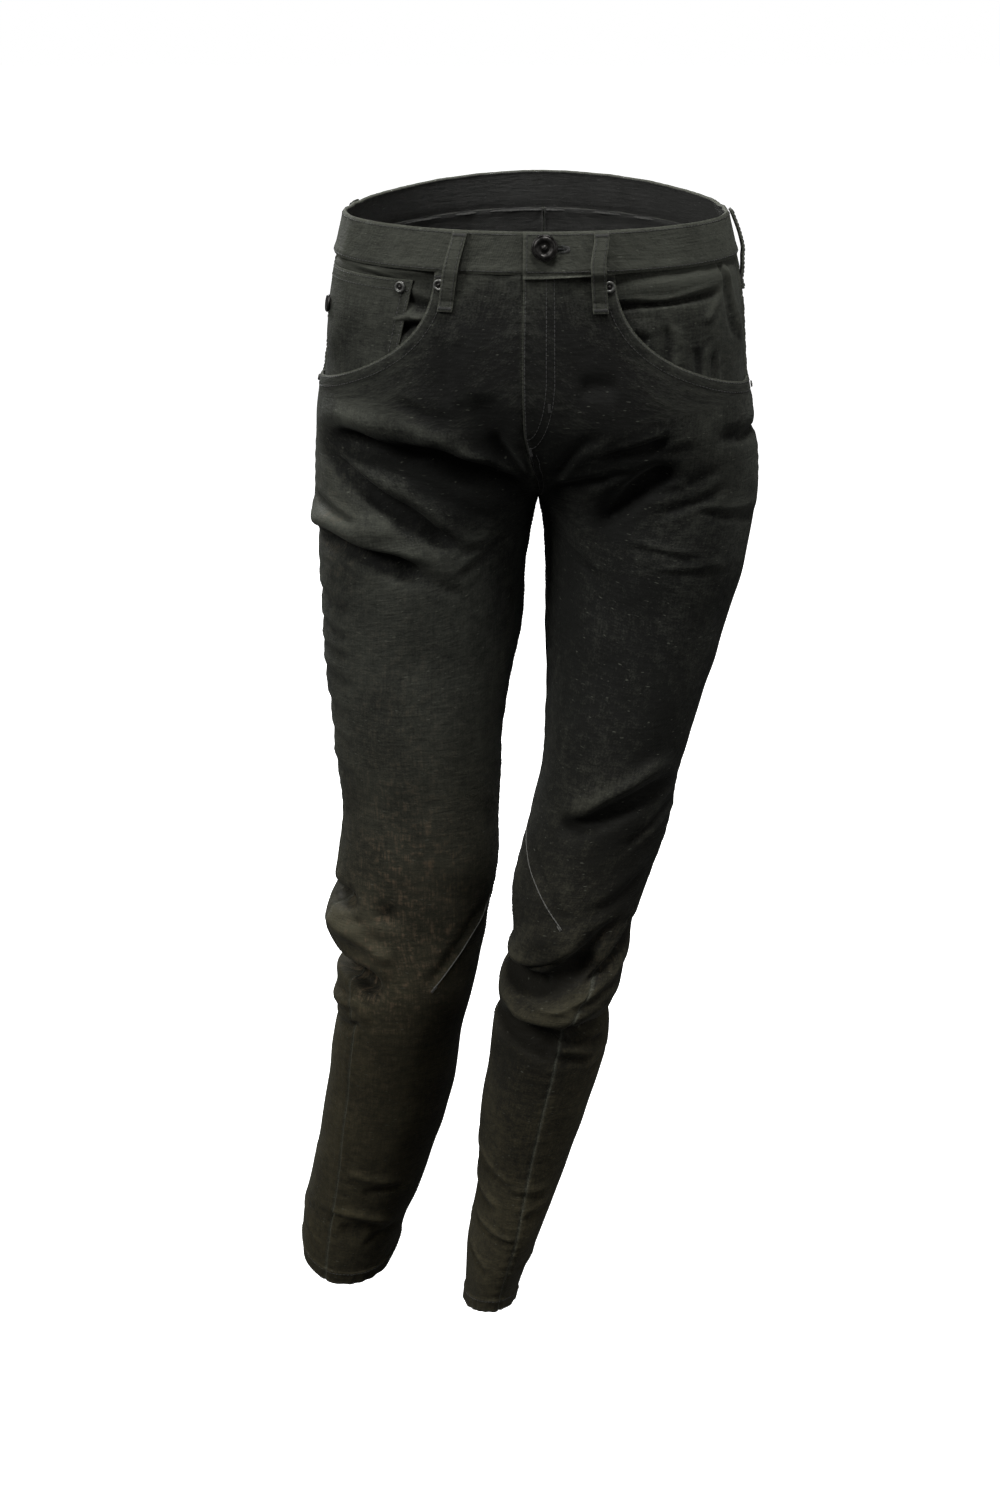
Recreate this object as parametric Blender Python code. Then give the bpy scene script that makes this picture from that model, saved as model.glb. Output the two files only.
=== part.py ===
"""Boyfriend jeans as they look when worn: hollow, mid stride, with the left leg forward.

Metres, +Z up. The garment faces -Y, and the wearer's left is +X. The origin is the middle of the
waist opening. Every cloth piece is a wall of even thickness, shaped by one garment surface.

That surface is addressed by a side (+1 left, -1 right), a turn and a drop:
  turn 0 is the centre front or inseam, 1 the outseam, 2 the centre back or inseam again;
  drop is how far down the outseam a level lies, from 0 at the top of the waistband.
"""

import math
from collections import namedtuple

import bmesh
import bpy
import numpy as np
from mathutils import Matrix, Vector

LEFT = 1
RIGHT = -1

# Driving dimensions
DENIM = 0.0014
POCKET_CLOTH = 0.0011
SEAM_GAP = 0.0004
LAYER_GAP = 0.0005
WAISTBAND_HEIGHT = 0.031
WAISTBAND_THICKNESS = 0.0026
WAISTBAND_PROUD = 0.0011
CROTCH_DEPTH = 0.217
HEM_DEPTH = 0.013
HEM_PROUD = 0.0009
HEM_LEVEL = {LEFT: 0.913, RIGHT: 0.931}
PELVIS_TURN = math.radians(-5.0)
HIP_SQUARENESS = 2.35
LEG_SQUARENESS = 2.1

# How the waist dips at the front and rises at the back, from the level of the sides
FRONT_DIP = 0.006
BACK_RISE = 0.020
WAIST_TILT_FADE = 0.17

# Levels that bound the crotch: where the rise starts to curve, the row that meets the crotch
# point, and the row below which every level is flat
RISE_START = 0.12
CROTCH_ROW = 0.285
FLAT_ROW = 0.42

TWIST_TOP = -0.15
TWIST_END = -0.217

# Front pocket scoop: its turn at the waist seam, its level at the outseam and its roundness
SCOOP_TURN = 0.27
SCOOP_LEVEL = 0.124
SCOOP_ROUNDNESS = 2.5

# Yoke depth under the waistband at the outseam and at the centre back
YOKE_SIDE = 0.032
YOKE_BACK = 0.072

HipRow = namedtuple("HipRow", "z front back")
LegRow = namedtuple("LegRow", "z inner outer centre_y girth inseam outseam")
Fold = namedtuple("Fold", "side face x_start z_start x_end z_end bow width depth")

HIP_ROWS = [
    HipRow(0.03, 0.100, 0.101),
    HipRow(0.00, 0.103, 0.108),
    HipRow(-0.05, 0.108, 0.121),
    HipRow(-0.10, 0.112, 0.133),
    HipRow(-0.16, 0.113, 0.132),
    HipRow(-0.22, 0.110, 0.120),
]

# Inner and outer are distances from the middle plane towards the wearer's own side. Inseam and
# outseam are angles round the leg in degrees: 0 faces the other leg, 90 the front, 180 outwards.
LEG_ROWS = {
    LEFT: [
        LegRow(0.030, 0.000, 0.139, 0.004, 0.58, 0, 180),
        LegRow(0.000, 0.000, 0.146, 0.004, 0.58, 0, 180),
        LegRow(-0.030, 0.000, 0.154, 0.004, 0.58, 0, 180),
        LegRow(-0.070, 0.000, 0.161, 0.004, 0.58, 0, 180),
        LegRow(-0.110, 0.000, 0.165, 0.004, 0.58, 0, 180),
        LegRow(-0.154, 0.001, 0.173, 0.004, 0.58, 0, 180),
        LegRow(-0.190, 0.003, 0.177, 0.006, 0.588, 0, 180),
        LegRow(-0.217, 0.0045, 0.178, 0.007, 0.590, 0, 180),
        LegRow(-0.240, 0.0082, 0.176, 0.006, 0.578, 0, 180),
        LegRow(-0.285, 0.0092, 0.166, 0.000, 0.548, 0, 180),
        LegRow(-0.335, 0.0115, 0.151, -0.012, 0.512, 0, 180),
        LegRow(-0.385, 0.0105, 0.133, -0.027, 0.473, 0, 178),
        LegRow(-0.435, 0.0085, 0.119, -0.042, 0.438, 0, 172),
        LegRow(-0.480, -0.0030, 0.108, -0.053, 0.410, -2, 163),
        LegRow(-0.530, -0.0145, 0.0905, -0.062, 0.400, -6, 146),
        LegRow(-0.580, -0.0180, 0.077, -0.068, 0.392, -12, 118),
        LegRow(-0.620, -0.0275, 0.068, -0.071, 0.380, -18, 99),
        LegRow(-0.670, -0.0340, 0.061, -0.073, 0.368, -24, 92),
        LegRow(-0.740, -0.0420, 0.0415, -0.074, 0.354, -30, 91),
        LegRow(-0.815, -0.0475, 0.0165, -0.075, 0.342, -34, 96),
        LegRow(-0.880, -0.0560, -0.0045, -0.076, 0.332, -36, 108),
        LegRow(-0.930, -0.0580, -0.0185, -0.077, 0.325, -36, 118),
    ],
    RIGHT: [
        LegRow(0.030, 0.000, 0.136, 0.004, 0.58, 0, 180),
        LegRow(0.000, 0.000, 0.144, 0.004, 0.58, 0, 180),
        LegRow(-0.030, 0.000, 0.152, 0.004, 0.58, 0, 180),
        LegRow(-0.070, 0.000, 0.159, 0.004, 0.58, 0, 180),
        LegRow(-0.110, 0.000, 0.1635, 0.004, 0.58, 0, 180),
        LegRow(-0.154, -0.001, 0.170, 0.004, 0.58, 0, 180),
        LegRow(-0.190, -0.003, 0.172, 0.006, 0.588, 0, 180),
        LegRow(-0.217, -0.0040, 0.172, 0.008, 0.590, 0, 180),
        LegRow(-0.240, 0.0004, 0.172, 0.008, 0.578, 0, 180),
        LegRow(-0.285, 0.0048, 0.171, 0.005, 0.548, 0, 180),
        LegRow(-0.335, 0.0105, 0.169, 0.000, 0.512, 0, 180),
        LegRow(-0.385, 0.0205, 0.165, -0.005, 0.473, 0, 178),
        LegRow(-0.435, 0.0262, 0.160, -0.008, 0.438, 0, 175),
        LegRow(-0.480, 0.0272, 0.156, -0.011, 0.410, 0, 172),
        LegRow(-0.530, 0.0290, 0.163, -0.012, 0.400, -2, 166),
        LegRow(-0.580, 0.0360, 0.169, -0.010, 0.392, -5, 156),
        LegRow(-0.620, 0.0430, 0.166, -0.005, 0.382, -9, 144),
        LegRow(-0.670, 0.0530, 0.166, 0.003, 0.370, -14, 135),
        LegRow(-0.720, 0.0620, 0.174, 0.012, 0.360, -18, 131),
        LegRow(-0.780, 0.0745, 0.183, 0.022, 0.350, -22, 128),
        LegRow(-0.840, 0.0910, 0.193, 0.034, 0.341, -25, 124),
        LegRow(-0.890, 0.1085, 0.204, 0.044, 0.332, -27, 119),
        LegRow(-0.945, 0.1245, 0.209, 0.053, 0.325, -28, 115),
    ],
}

# The largest folds, placed in the front view: face -1 is the front and +1 the back. A trough has
# a negative depth and a ridge a positive one. Bow bends the fold to one side of its chord.
FOLDS = [
    Fold(RIGHT, -1, -0.168, -0.166, -0.006, -0.212, 0.010, 0.011, -0.0095),
    Fold(RIGHT, -1, -0.165, -0.176, -0.050, -0.250, -0.004, 0.008, -0.0050),
    Fold(RIGHT, -1, -0.185, -0.237, -0.100, -0.233, 0.002, 0.012, 0.0075),
    Fold(RIGHT, -1, -0.180, -0.250, -0.082, -0.272, 0.007, 0.007, -0.0060),
    Fold(LEFT, -1, 0.110, -0.180, 0.045, -0.232, -0.003, 0.010, -0.0065),
    Fold(LEFT, -1, 0.045, -0.172, 0.104, -0.158, -0.002, 0.006, -0.0030),
    Fold(LEFT, -1, 0.135, -0.160, 0.185, -0.166, 0.002, 0.006, -0.0030),
    Fold(RIGHT, -1, -0.185, -0.553, -0.140, -0.551, 0.000, 0.008, -0.0055),
    Fold(RIGHT, -1, -0.185, -0.595, -0.115, -0.560, 0.004, 0.012, 0.0050),
    Fold(RIGHT, -1, -0.180, -0.610, -0.128, -0.628, 0.004, 0.008, -0.0090),
    Fold(RIGHT, -1, -0.185, -0.650, -0.130, -0.655, 0.000, 0.009, 0.0040),
    Fold(LEFT, -1, 0.112, -0.408, 0.020, -0.458, -0.005, 0.008, 0.0045),
    Fold(LEFT, -1, 0.115, -0.428, 0.015, -0.470, -0.005, 0.008, -0.0060),
    Fold(LEFT, -1, -0.035, -0.588, 0.045, -0.545, -0.006, 0.008, 0.0050),
    Fold(LEFT, -1, -0.035, -0.603, 0.055, -0.560, -0.007, 0.009, -0.0080),
    Fold(LEFT, -1, -0.035, -0.618, 0.080, -0.585, -0.015, 0.008, 0.0060),
    Fold(LEFT, -1, -0.035, -0.632, 0.020, -0.648, 0.003, 0.008, -0.0060),
    Fold(LEFT, -1, 0.028, -0.632, 0.075, -0.630, 0.000, 0.007, -0.0050),
    Fold(RIGHT, 1, -0.175, -0.262, -0.020, -0.248, 0.012, 0.016, -0.0045),
    Fold(LEFT, 1, 0.180, -0.262, 0.025, -0.250, -0.012, 0.016, -0.0045),
    Fold(RIGHT, 1, -0.155, -0.548, -0.030, -0.582, 0.007, 0.011, -0.0065),
    Fold(RIGHT, 1, -0.190, -0.612, -0.060, -0.600, -0.009, 0.010, -0.0080),
    Fold(RIGHT, 1, -0.140, -0.655, -0.045, -0.628, 0.005, 0.009, -0.0045),
    Fold(LEFT, 1, 0.085, -0.562, -0.028, -0.578, -0.008, 0.011, -0.0070),
    Fold(LEFT, 1, 0.092, -0.596, -0.010, -0.606, 0.007, 0.009, -0.0050),
    Fold(LEFT, 1, 0.062, -0.652, -0.042, -0.634, -0.006, 0.010, -0.0065),
]

HEM_TILT = {LEFT: -0.44, RIGHT: 0.24}
HEM_TILT_START = 0.80

# Straps that hold a belt: side, turn, and how far the strap leans towards the outseam at its foot
BeltLoop = namedtuple("BeltLoop", "name side turn lean")
BELT_LOOPS = [
    BeltLoop("belt_loop_front_left", LEFT, 0.213, 0.02),
    BeltLoop("belt_loop_front_right", RIGHT, 0.200, 0.06),
    BeltLoop("belt_loop_side_left", LEFT, 1.075, 0.0),
    BeltLoop("belt_loop_side_right", RIGHT, 1.20, 0.0),
    BeltLoop("belt_loop_back", LEFT, 2.0, 0.0),
]
LOOP_WIDTH = 0.011
LOOP_THICKNESS = 0.0018
LOOP_TOP = 0.001
LOOP_FOOT = 0.060
LOOP_STANDOFF = 0.0038

# Patch pockets on the seat
BACK_POCKET_WIDTH = 0.130
BACK_POCKET_HEIGHT = 0.126
BACK_POCKET_CORNER = 0.024
BACK_POCKET_REACH = 0.122
BACK_POCKET_TOP = 0.088

# Depths of the pocket layers behind the face of the cloth, and how far they fill out again
# where the scoop leaves them bare
FACING_DEPTH = {LEFT: 0.0026, RIGHT: 0.0049}
FACING_FILL = {LEFT: 0.0016, RIGHT: 0.0024}
COIN_POCKET_DEPTH = 0.0030

OLIVE_BLACK = (0.022, 0.023, 0.020, 1.0)
METAL_BLACK = (0.030, 0.030, 0.030, 1.0)
METAL_GREY = (0.16, 0.16, 0.155, 1.0)


def ease(x):
    """0 to 1 with no slope at either end."""
    x = np.clip(x, 0.0, 1.0)
    return x * x * (3 - 2 * x)


def column(rows, name, z):
    """A smooth curve through one column of a table, read at heights z."""
    ordered = sorted(rows, key=lambda row: row.z)
    heights = np.array([row.z for row in ordered])
    values = np.array([getattr(row, name) for row in ordered], float)
    slopes = np.gradient(values, heights)
    z = np.clip(z, heights[0], heights[-1])
    low = np.clip(np.searchsorted(heights, z) - 1, 0, len(heights) - 2)
    span = heights[low + 1] - heights[low]
    s = (z - heights[low]) / span
    rise = values[low] * (2 * s**3 - 3 * s**2 + 1) + values[low + 1] * (3 * s**2 - 2 * s**3)
    lean = slopes[low] * (s**3 - 2 * s**2 + s) + slopes[low + 1] * (s**3 - s**2)
    return rise + lean * span


def rounding(angle, squareness):
    """How far a superellipse stands out from its ellipse at an angle."""
    total = np.abs(np.sin(angle)) ** squareness + np.abs(np.cos(angle)) ** squareness
    return total ** (-1 / squareness)


def row_heights(turn, drop):
    """Height of each point, and how far its section has changed from hips to leg."""
    inward = 1 - np.abs(turn - 1)
    curve = np.clip((drop - RISE_START) / (CROTCH_ROW - RISE_START), 0, 1)
    sweep = math.pi / 2 * np.sin(math.pi / 2 * curve)
    rise = RISE_START + (CROTCH_DEPTH - RISE_START) * np.sin(sweep)
    settled = ease((drop - CROTCH_ROW) / (FLAT_ROW - CROTCH_ROW))
    inseam = drop - (CROTCH_ROW - CROTCH_DEPTH) * (1 - settled)
    inner = np.where(drop < RISE_START, drop, np.where(drop < CROTCH_ROW, rise, inseam))
    spread = 1 - (1 - inward) ** 2.5
    tilt = np.where(turn < 1, -FRONT_DIP, BACK_RISE) * np.cos(math.pi / 2 * turn) ** 2
    lift = tilt * (1 - ease(drop / WAIST_TILT_FADE))
    return -(inner + (drop - inner) * spread) + lift, 1 - np.cos(sweep)


def base_surface(side, turn, drop):
    """Points of the garment without its folds."""
    z, leg_share = row_heights(turn, drop)
    rows = LEG_ROWS[side]
    inner = column(rows, "inner", z) + SEAM_GAP / 2
    outer = column(rows, "outer", z)
    centre_y = column(rows, "centre_y", z)
    hip_angle = turn * math.pi / 2
    depth = np.where(turn < 1, column(HIP_ROWS, "front", z), column(HIP_ROWS, "back", z))
    hip_rounding = rounding(hip_angle, HIP_SQUARENESS)
    hip_x = inner + (outer - inner) * hip_rounding * np.sin(hip_angle)
    hip_y = -depth * hip_rounding * np.cos(hip_angle)
    inseam = np.radians(column(rows, "inseam", z))
    outseam = np.radians(column(rows, "outseam", z))
    front_angle = inseam + (outseam - inseam) * turn
    back_angle = outseam + (2 * math.pi + inseam - outseam) * (turn - 1)
    leg_angle = np.where(turn < 1, front_angle, back_angle)
    half_width = (outer - inner) / 2
    mean_radius = column(rows, "girth", z) / (2 * math.pi)
    half_depth = np.sqrt(2 * mean_radius**2 - half_width**2)
    leg_rounding = rounding(leg_angle, LEG_SQUARENESS)
    leg_x = (outer + inner) / 2 - half_width * leg_rounding * np.cos(leg_angle)
    leg_y = centre_y - half_depth * leg_rounding * np.sin(leg_angle)
    x = side * (hip_x + (leg_x - hip_x) * leg_share)
    y = hip_y + (leg_y - hip_y) * leg_share
    hem_share = ease((drop - HEM_TILT_START) / (HEM_LEVEL[side] - HEM_TILT_START))
    z = z + HEM_TILT[side] * (y - centre_y) * hem_share
    twist = PELVIS_TURN * ease((z - TWIST_END) / (TWIST_TOP - TWIST_END))
    turned_x = x * np.cos(twist) - y * np.sin(twist)
    turned_y = x * np.sin(twist) + y * np.cos(twist)
    return np.stack([turned_x, turned_y, z], axis=-1)


def outward(side, turn, drop, surface):
    """Unit normals of a surface, pointing out of the garment."""
    step = 0.0008
    along = surface(side, turn + step, drop) - surface(side, turn - step, drop)
    down = surface(side, turn, drop + step) - surface(side, turn, drop - step)
    normal = np.cross(down, along) * side
    return normal / np.linalg.norm(normal, axis=-1, keepdims=True)


def fold_height(side, points, normals):
    """How far the folds of one side move each point out."""
    height = np.zeros(points.shape[:-1])
    for fold in FOLDS:
        if fold.side != side:
            continue
        chord = np.array([fold.x_end - fold.x_start, fold.z_end - fold.z_start])
        length = np.linalg.norm(chord)
        away = points[..., [0, 2]] - np.array([fold.x_start, fold.z_start])
        along = (away @ chord) / length**2
        across = (away[..., 0] * -chord[1] + away[..., 1] * chord[0]) / length
        inside = np.clip(along, 0, 1)
        across = across - fold.bow * 4 * inside * (1 - inside)
        ends = ease(along / 0.22) * ease((1 - along) / 0.22)
        facing = ease(0.5 + 1.2 * fold.face * normals[..., 1])
        height += fold.depth * np.exp(-((across / fold.width) ** 2)) * ends * facing
    return height


def folded_surface(side, turn, drop):
    """Points of the garment with its folds."""
    points = base_surface(side, turn, drop)
    normals = outward(side, turn, drop, base_surface)
    return points + normals * fold_height(side, points, normals)[..., None]


def cloth_point(side, turn, drop, height=0.0):
    """A point at some height over the cloth, and the direction that faces out there."""
    turn = np.asarray(turn, float)
    drop = np.asarray(drop, float)
    normals = outward(side, turn, drop, folded_surface)
    points = folded_surface(side, turn, drop)
    return points + normals * np.asarray(height)[..., None], normals


def panel_width(side, drop, first, last):
    """Length of the cloth along one level between two turns."""
    turns = np.linspace(first, last, 25)
    points = base_surface(side, turns, np.full_like(turns, drop))
    return float(np.linalg.norm(np.diff(points, axis=0), axis=-1).sum())


def new_collection(name):
    collection = bpy.data.collections.new(name)
    bpy.context.scene.collection.children.link(collection)
    return collection


def cloth_material(name, colour, roughness, metallic):
    material = bpy.data.materials.new(name)
    material.use_nodes = True
    shader = material.node_tree.nodes["Principled BSDF"]
    shader.inputs["Base Color"].default_value = colour
    shader.inputs["Roughness"].default_value = roughness
    shader.inputs["Metallic"].default_value = metallic
    return material


def add_object(name, mesh, material):
    """Turns a bmesh into a named object of the jeans."""
    data = bpy.data.meshes.new(name)
    bmesh.ops.recalc_face_normals(mesh, faces=mesh.faces)
    if mesh.calc_volume(signed=True) < 0:
        bmesh.ops.reverse_faces(mesh, faces=mesh.faces)
    mesh.to_mesh(data)
    mesh.free()
    data.materials.append(material)
    item = bpy.data.objects.new(name, data)
    bpy.data.collections["jeans"].objects.link(item)
    return item


def cloth_wall(name, columns, rows, place, thickness, material):
    """A closed wall. place(across, down) gives its outer points and their normals, 0 to 1 each."""
    mesh = bmesh.new()
    bmesh.ops.create_grid(mesh, x_segments=columns, y_segments=rows, size=0.5)
    outer = list(mesh.verts)
    across = np.array([vert.co.x + 0.5 for vert in outer])
    down = np.array([0.5 - vert.co.y for vert in outer])
    grown = bmesh.ops.extrude_face_region(mesh, geom=mesh.faces[:], use_keep_orig=True)
    inner = [item for item in grown["geom"] if isinstance(item, bmesh.types.BMVert)]
    partner = {}
    for vert in inner:
        partner[(round(vert.co.x, 6), round(vert.co.y, 6))] = vert
    points, normals = place(across, down)
    depth = np.broadcast_to(thickness, across.shape)
    for index, vert in enumerate(outer):
        twin = partner[(round(vert.co.x, 6), round(vert.co.y, 6))]
        vert.co = Vector(points[index])
        twin.co = Vector(points[index] - normals[index] * depth[index])
    return add_object(name, mesh, material)


def spaced(zones, down):
    """Reads a level from 0 to 1 through zones of (level, rows above it), evenly inside each."""
    levels = np.array([level for level, _ in zones])
    counts = np.cumsum([count for _, count in zones])
    return np.interp(down, counts / counts[-1], levels)


def scoop_turn(level):
    """Turn of the pocket's curved edge at a level of the front."""
    share = np.clip((level - WAISTBAND_HEIGHT) / (SCOOP_LEVEL - WAISTBAND_HEIGHT), 0, 1)
    return 1 - (1 - SCOOP_TURN) * (1 - share**SCOOP_ROUNDNESS) ** (1 / SCOOP_ROUNDNESS)


def hem_height(side, drop):
    """The turned-up hem stands proud of the leg."""
    start = HEM_LEVEL[side] - HEM_DEPTH
    return HEM_PROUD * np.clip((drop - start) / 0.0012, 0, 1)


def leg_zones(side, first_level, first_rows):
    """Row spacing of a panel from its top zone down to the hem."""
    hem = HEM_LEVEL[side]
    return [
        (first_level, 0),
        (SCOOP_LEVEL, first_rows),
        (CROTCH_ROW, 12),
        (KNEE_TOP, 6),
        (KNEE_FOOT, 12),
        (HEM_TILT_START, 4),
        (hem - HEM_DEPTH, 3),
        (hem - HEM_DEPTH + 0.0012, 1),
        (hem, 1),
    ]


PANEL_COLUMNS = 11
FRONT_SLANT_LEVEL = 0.150
KNEE_TOP = 0.535
KNEE_FOOT = 0.675
FRONT_TOP_ROWS = 10
BACK_TOP_ROWS = 3


def front_panel(side, name, material):
    """The leg's front, from the centre front to the outseam, with the pocket scooped out."""
    top = WAISTBAND_HEIGHT + SEAM_GAP
    zones = leg_zones(side, top, FRONT_TOP_ROWS)
    rows = sum(count for _, count in zones)
    scoop_share = FRONT_TOP_ROWS / rows

    def place(across, down):
        level = spaced(zones, down)
        zone = np.clip(down / scoop_share, 0, 1)
        centre_level = top + (FRONT_SLANT_LEVEL - top) * zone
        edge_level = top + (SCOOP_LEVEL - top) * np.sin(math.pi / 2 * zone) ** (2 / SCOOP_ROUNDNESS)
        slanted = centre_level + (edge_level - centre_level) * across
        settled = np.clip((level - SCOOP_LEVEL) / (CROTCH_ROW - SCOOP_LEVEL), 0, 1)
        level = np.where(level < CROTCH_ROW, slanted + (CROTCH_ROW - slanted) * settled, level)
        bare = np.cos(math.pi / 2 * zone) ** (2 / SCOOP_ROUNDNESS)
        turn = across * (1 - (1 - SCOOP_TURN) * bare)
        turn = seam_inset(side, turn, level)
        height = hem_height(side, level) + fly_height(side, turn, level)
        return cloth_point(side, turn, level, height)

    return cloth_wall(name, PANEL_COLUMNS, rows, place, DENIM, material)


def seam_inset(side, turn, level):
    """Moves points off the seams at turns 0, 1 and 2 by half a seam gap."""
    step = 0.002
    probe = np.clip(turn, step, 2 - step)
    ahead = base_surface(side, probe + step, level)
    behind = base_surface(side, probe - step, level)
    speed = np.linalg.norm(ahead - behind, axis=-1) / (2 * step)
    inset = SEAM_GAP / 2 / speed
    first = np.floor(np.clip(turn.min() + 0.5, 0, 1))
    return np.clip(turn, first + inset, first + 1 - inset)


def yoke_level(turn):
    """Level of the seam under the yoke."""
    share = np.clip(turn - 1, 0, 1)
    return WAISTBAND_HEIGHT + YOKE_SIDE + (YOKE_BACK - YOKE_SIDE) * share


def back_panel(side, name, material):
    """The leg's back, from the outseam to the centre back, under the yoke."""
    zones = leg_zones(side, WAISTBAND_HEIGHT, BACK_TOP_ROWS)
    rows = sum(count for _, count in zones)
    top_share = BACK_TOP_ROWS / rows

    def place(across, down):
        turn = 1 + across
        level = spaced(zones, down)
        start = yoke_level(turn) + SEAM_GAP
        zone = np.clip(down / top_share, 0, 1)
        level = np.where(down < top_share, start + (SCOOP_LEVEL - start) * zone, level)
        turn = seam_inset(side, turn, level)
        return cloth_point(side, turn, level, hem_height(side, level))

    return cloth_wall(name, PANEL_COLUMNS, rows, place, DENIM, material)


def yoke(side, name, material):
    """The shaped piece between the waistband and the back of the leg."""

    def place(across, down):
        turn = 1 + across
        top = WAISTBAND_HEIGHT + SEAM_GAP
        level = top + (yoke_level(turn) - top) * down
        turn = seam_inset(side, turn, level)
        return cloth_point(side, turn, level)

    return cloth_wall(name, PANEL_COLUMNS, 3, place, DENIM, material)


BAND_LAP = 0.20
BAND_COLUMNS = 50


def band_point(ring, level, height):
    """A point on the waistband. ring runs 0 to 4 from the centre front round by the left."""
    on_left = (ring <= 2) | (ring > 4)
    turn = np.where(ring <= 2, ring, np.abs(4 - ring))
    points_left, normals_left = cloth_point(LEFT, turn, level, height)
    points_right, normals_right = cloth_point(RIGHT, turn, level, height)
    chosen = on_left[..., None]
    return (
        np.where(chosen, points_left, points_right),
        np.where(chosen, normals_left, normals_right),
    )


def band_height(ring):
    """How far the waistband stands proud. Its lapped end is raised over the end below it."""
    over = 1 - ease((ring - BAND_LAP - 0.03) / 0.22)
    return WAISTBAND_PROUD + (WAISTBAND_THICKNESS + LAYER_GAP) * over


def waistband(material):
    """One band round the waist. Its left end lies over its right end at the centre front."""

    def place(across, down):
        ring = (4 + BAND_LAP) * across
        return band_point(ring, WAISTBAND_HEIGHT * down, band_height(ring))

    return cloth_wall("waistband", BAND_COLUMNS, 2, place, WAISTBAND_THICKNESS, material)


FLY_WIDTH = 0.088
FLY_FOOT = 0.152
FLY_CURVE_START = 0.108
FLY_INSIDE_GAP = 0.0013
FLY_PROUD = 0.0012


def fly_height(side, turn, level):
    """The left front laps over the right one at the fly, so it stands proud there."""
    across = 1 - ease((turn - FLY_WIDTH) / 0.05)
    down = 1 - ease((level - FLY_FOOT + 0.012) / 0.02)
    return np.where(side == LEFT, FLY_PROUD, 0.0) * across * down


def fly_placket(material):
    """The layer sewn behind the left front, with its curved lower end."""

    def place(across, down):
        level = WAISTBAND_HEIGHT + 2 * SEAM_GAP
        level = level + (FLY_FOOT - level) * np.sin(math.pi / 2 * down) ** 0.9
        bend = np.clip((level - FLY_CURVE_START) / (FLY_FOOT - FLY_CURVE_START), 0, 1)
        width = FLY_WIDTH * (0.12 + 0.88 * np.sqrt(1 - bend**2))
        turn = 0.004 + width * across
        height = fly_height(LEFT, turn, level) - DENIM - FLY_INSIDE_GAP
        return cloth_point(LEFT, turn, level, height)

    return cloth_wall("fly_placket", 3, 10, place, DENIM, material)


def scoop_fill(side, turn, level):
    """How far the pocket layers fill out inside the scoop."""
    clear = ease((turn - scoop_turn(level) - 0.06) / 0.25) * ease((SCOOP_LEVEL - level - 0.008) / 0.03)
    top = ease((level - WAISTBAND_HEIGHT) / 0.008)
    return FACING_FILL[side] * clear * top * ease((1 - turn) / 0.2)


def pocket_facing(side, name, material):
    """The piece behind the front pocket's scoop, sewn into the waist and the outseam."""

    def place(across, down):
        first = SCOOP_TURN - 0.07
        turn = first + (1 - first) * across
        foot = SCOOP_LEVEL + 0.012
        level = WAISTBAND_HEIGHT + SEAM_GAP + (foot - WAISTBAND_HEIGHT) * down
        turn = np.minimum(turn, 1 - 0.0015)
        height = scoop_fill(side, turn, level) - FACING_DEPTH[side]
        return cloth_point(side, turn, level, height)

    return cloth_wall(name, 13, 8, place, POCKET_CLOTH, material)


COIN_TURN = 0.343
COIN_FAR_TURN = 0.955
COIN_TOP = 0.0385
COIN_FOOT = 0.133


def coin_point(across, down):
    """Turn and level of a place on the coin pocket."""
    near = COIN_TURN + 0.065 * down
    turn = near + (COIN_FAR_TURN - near) * across
    return turn, COIN_TOP + (COIN_FOOT - COIN_TOP) * down


def coin_face(turn, level):
    """Height of the coin pocket's face over the cloth's own surface."""
    return scoop_fill(RIGHT, turn, level) - COIN_POCKET_DEPTH


def coin_pocket(material):
    """The small patch pocket inside the right scoop."""

    def place(across, down):
        turn, level = coin_point(across, down)
        return cloth_point(RIGHT, turn, level, coin_face(turn, level))

    return cloth_wall("coin_pocket", 10, 7, place, POCKET_CLOTH, material)


def back_pocket(side, name, material):
    """A patch pocket with a pointed lower edge."""
    levels = np.linspace(BACK_POCKET_TOP, BACK_POCKET_TOP + BACK_POCKET_HEIGHT, 8)
    widths = [panel_width(side, level, 1, 2) for level in levels]

    def place(across, down):
        sideways = 2 * across - 1
        reach = BACK_POCKET_REACH + sideways * (1 - 0.10 * down) * BACK_POCKET_WIDTH / 2
        height = BACK_POCKET_HEIGHT - BACK_POCKET_CORNER * np.abs(sideways)
        level = BACK_POCKET_TOP + 0.05 * (reach - BACK_POCKET_REACH) + height * down
        turn = 1 + reach / np.interp(level, levels, widths)
        return cloth_point(side, turn, level, DENIM + LAYER_GAP)

    return cloth_wall(name, 10, 9, place, DENIM, material)


def belt_loop(loop, material):
    """A strap over the waistband, sewn down above and below it."""
    width = panel_width(loop.side, WAISTBAND_HEIGHT, 0, 1)
    proud = band_height(loop.turn) if loop.side == LEFT else WAISTBAND_PROUD

    def place(across, down):
        turn = loop.turn + (across - 0.5) * LOOP_WIDTH / width
        turn = turn + loop.lean * down * 0.5
        level = LOOP_TOP + (LOOP_FOOT - LOOP_TOP) * down
        arch = np.sin(math.pi * np.clip(down / 0.86, 0, 1)) ** 0.7
        seat = proud * (1 - ease((down - 0.5) / 0.12)) + LAYER_GAP
        height = seat + LOOP_STANDOFF * arch + LOOP_THICKNESS
        return cloth_point(loop.side, turn, level, height)

    return cloth_wall(loop.name, 2, 11, place, LOOP_THICKNESS, material)


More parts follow.
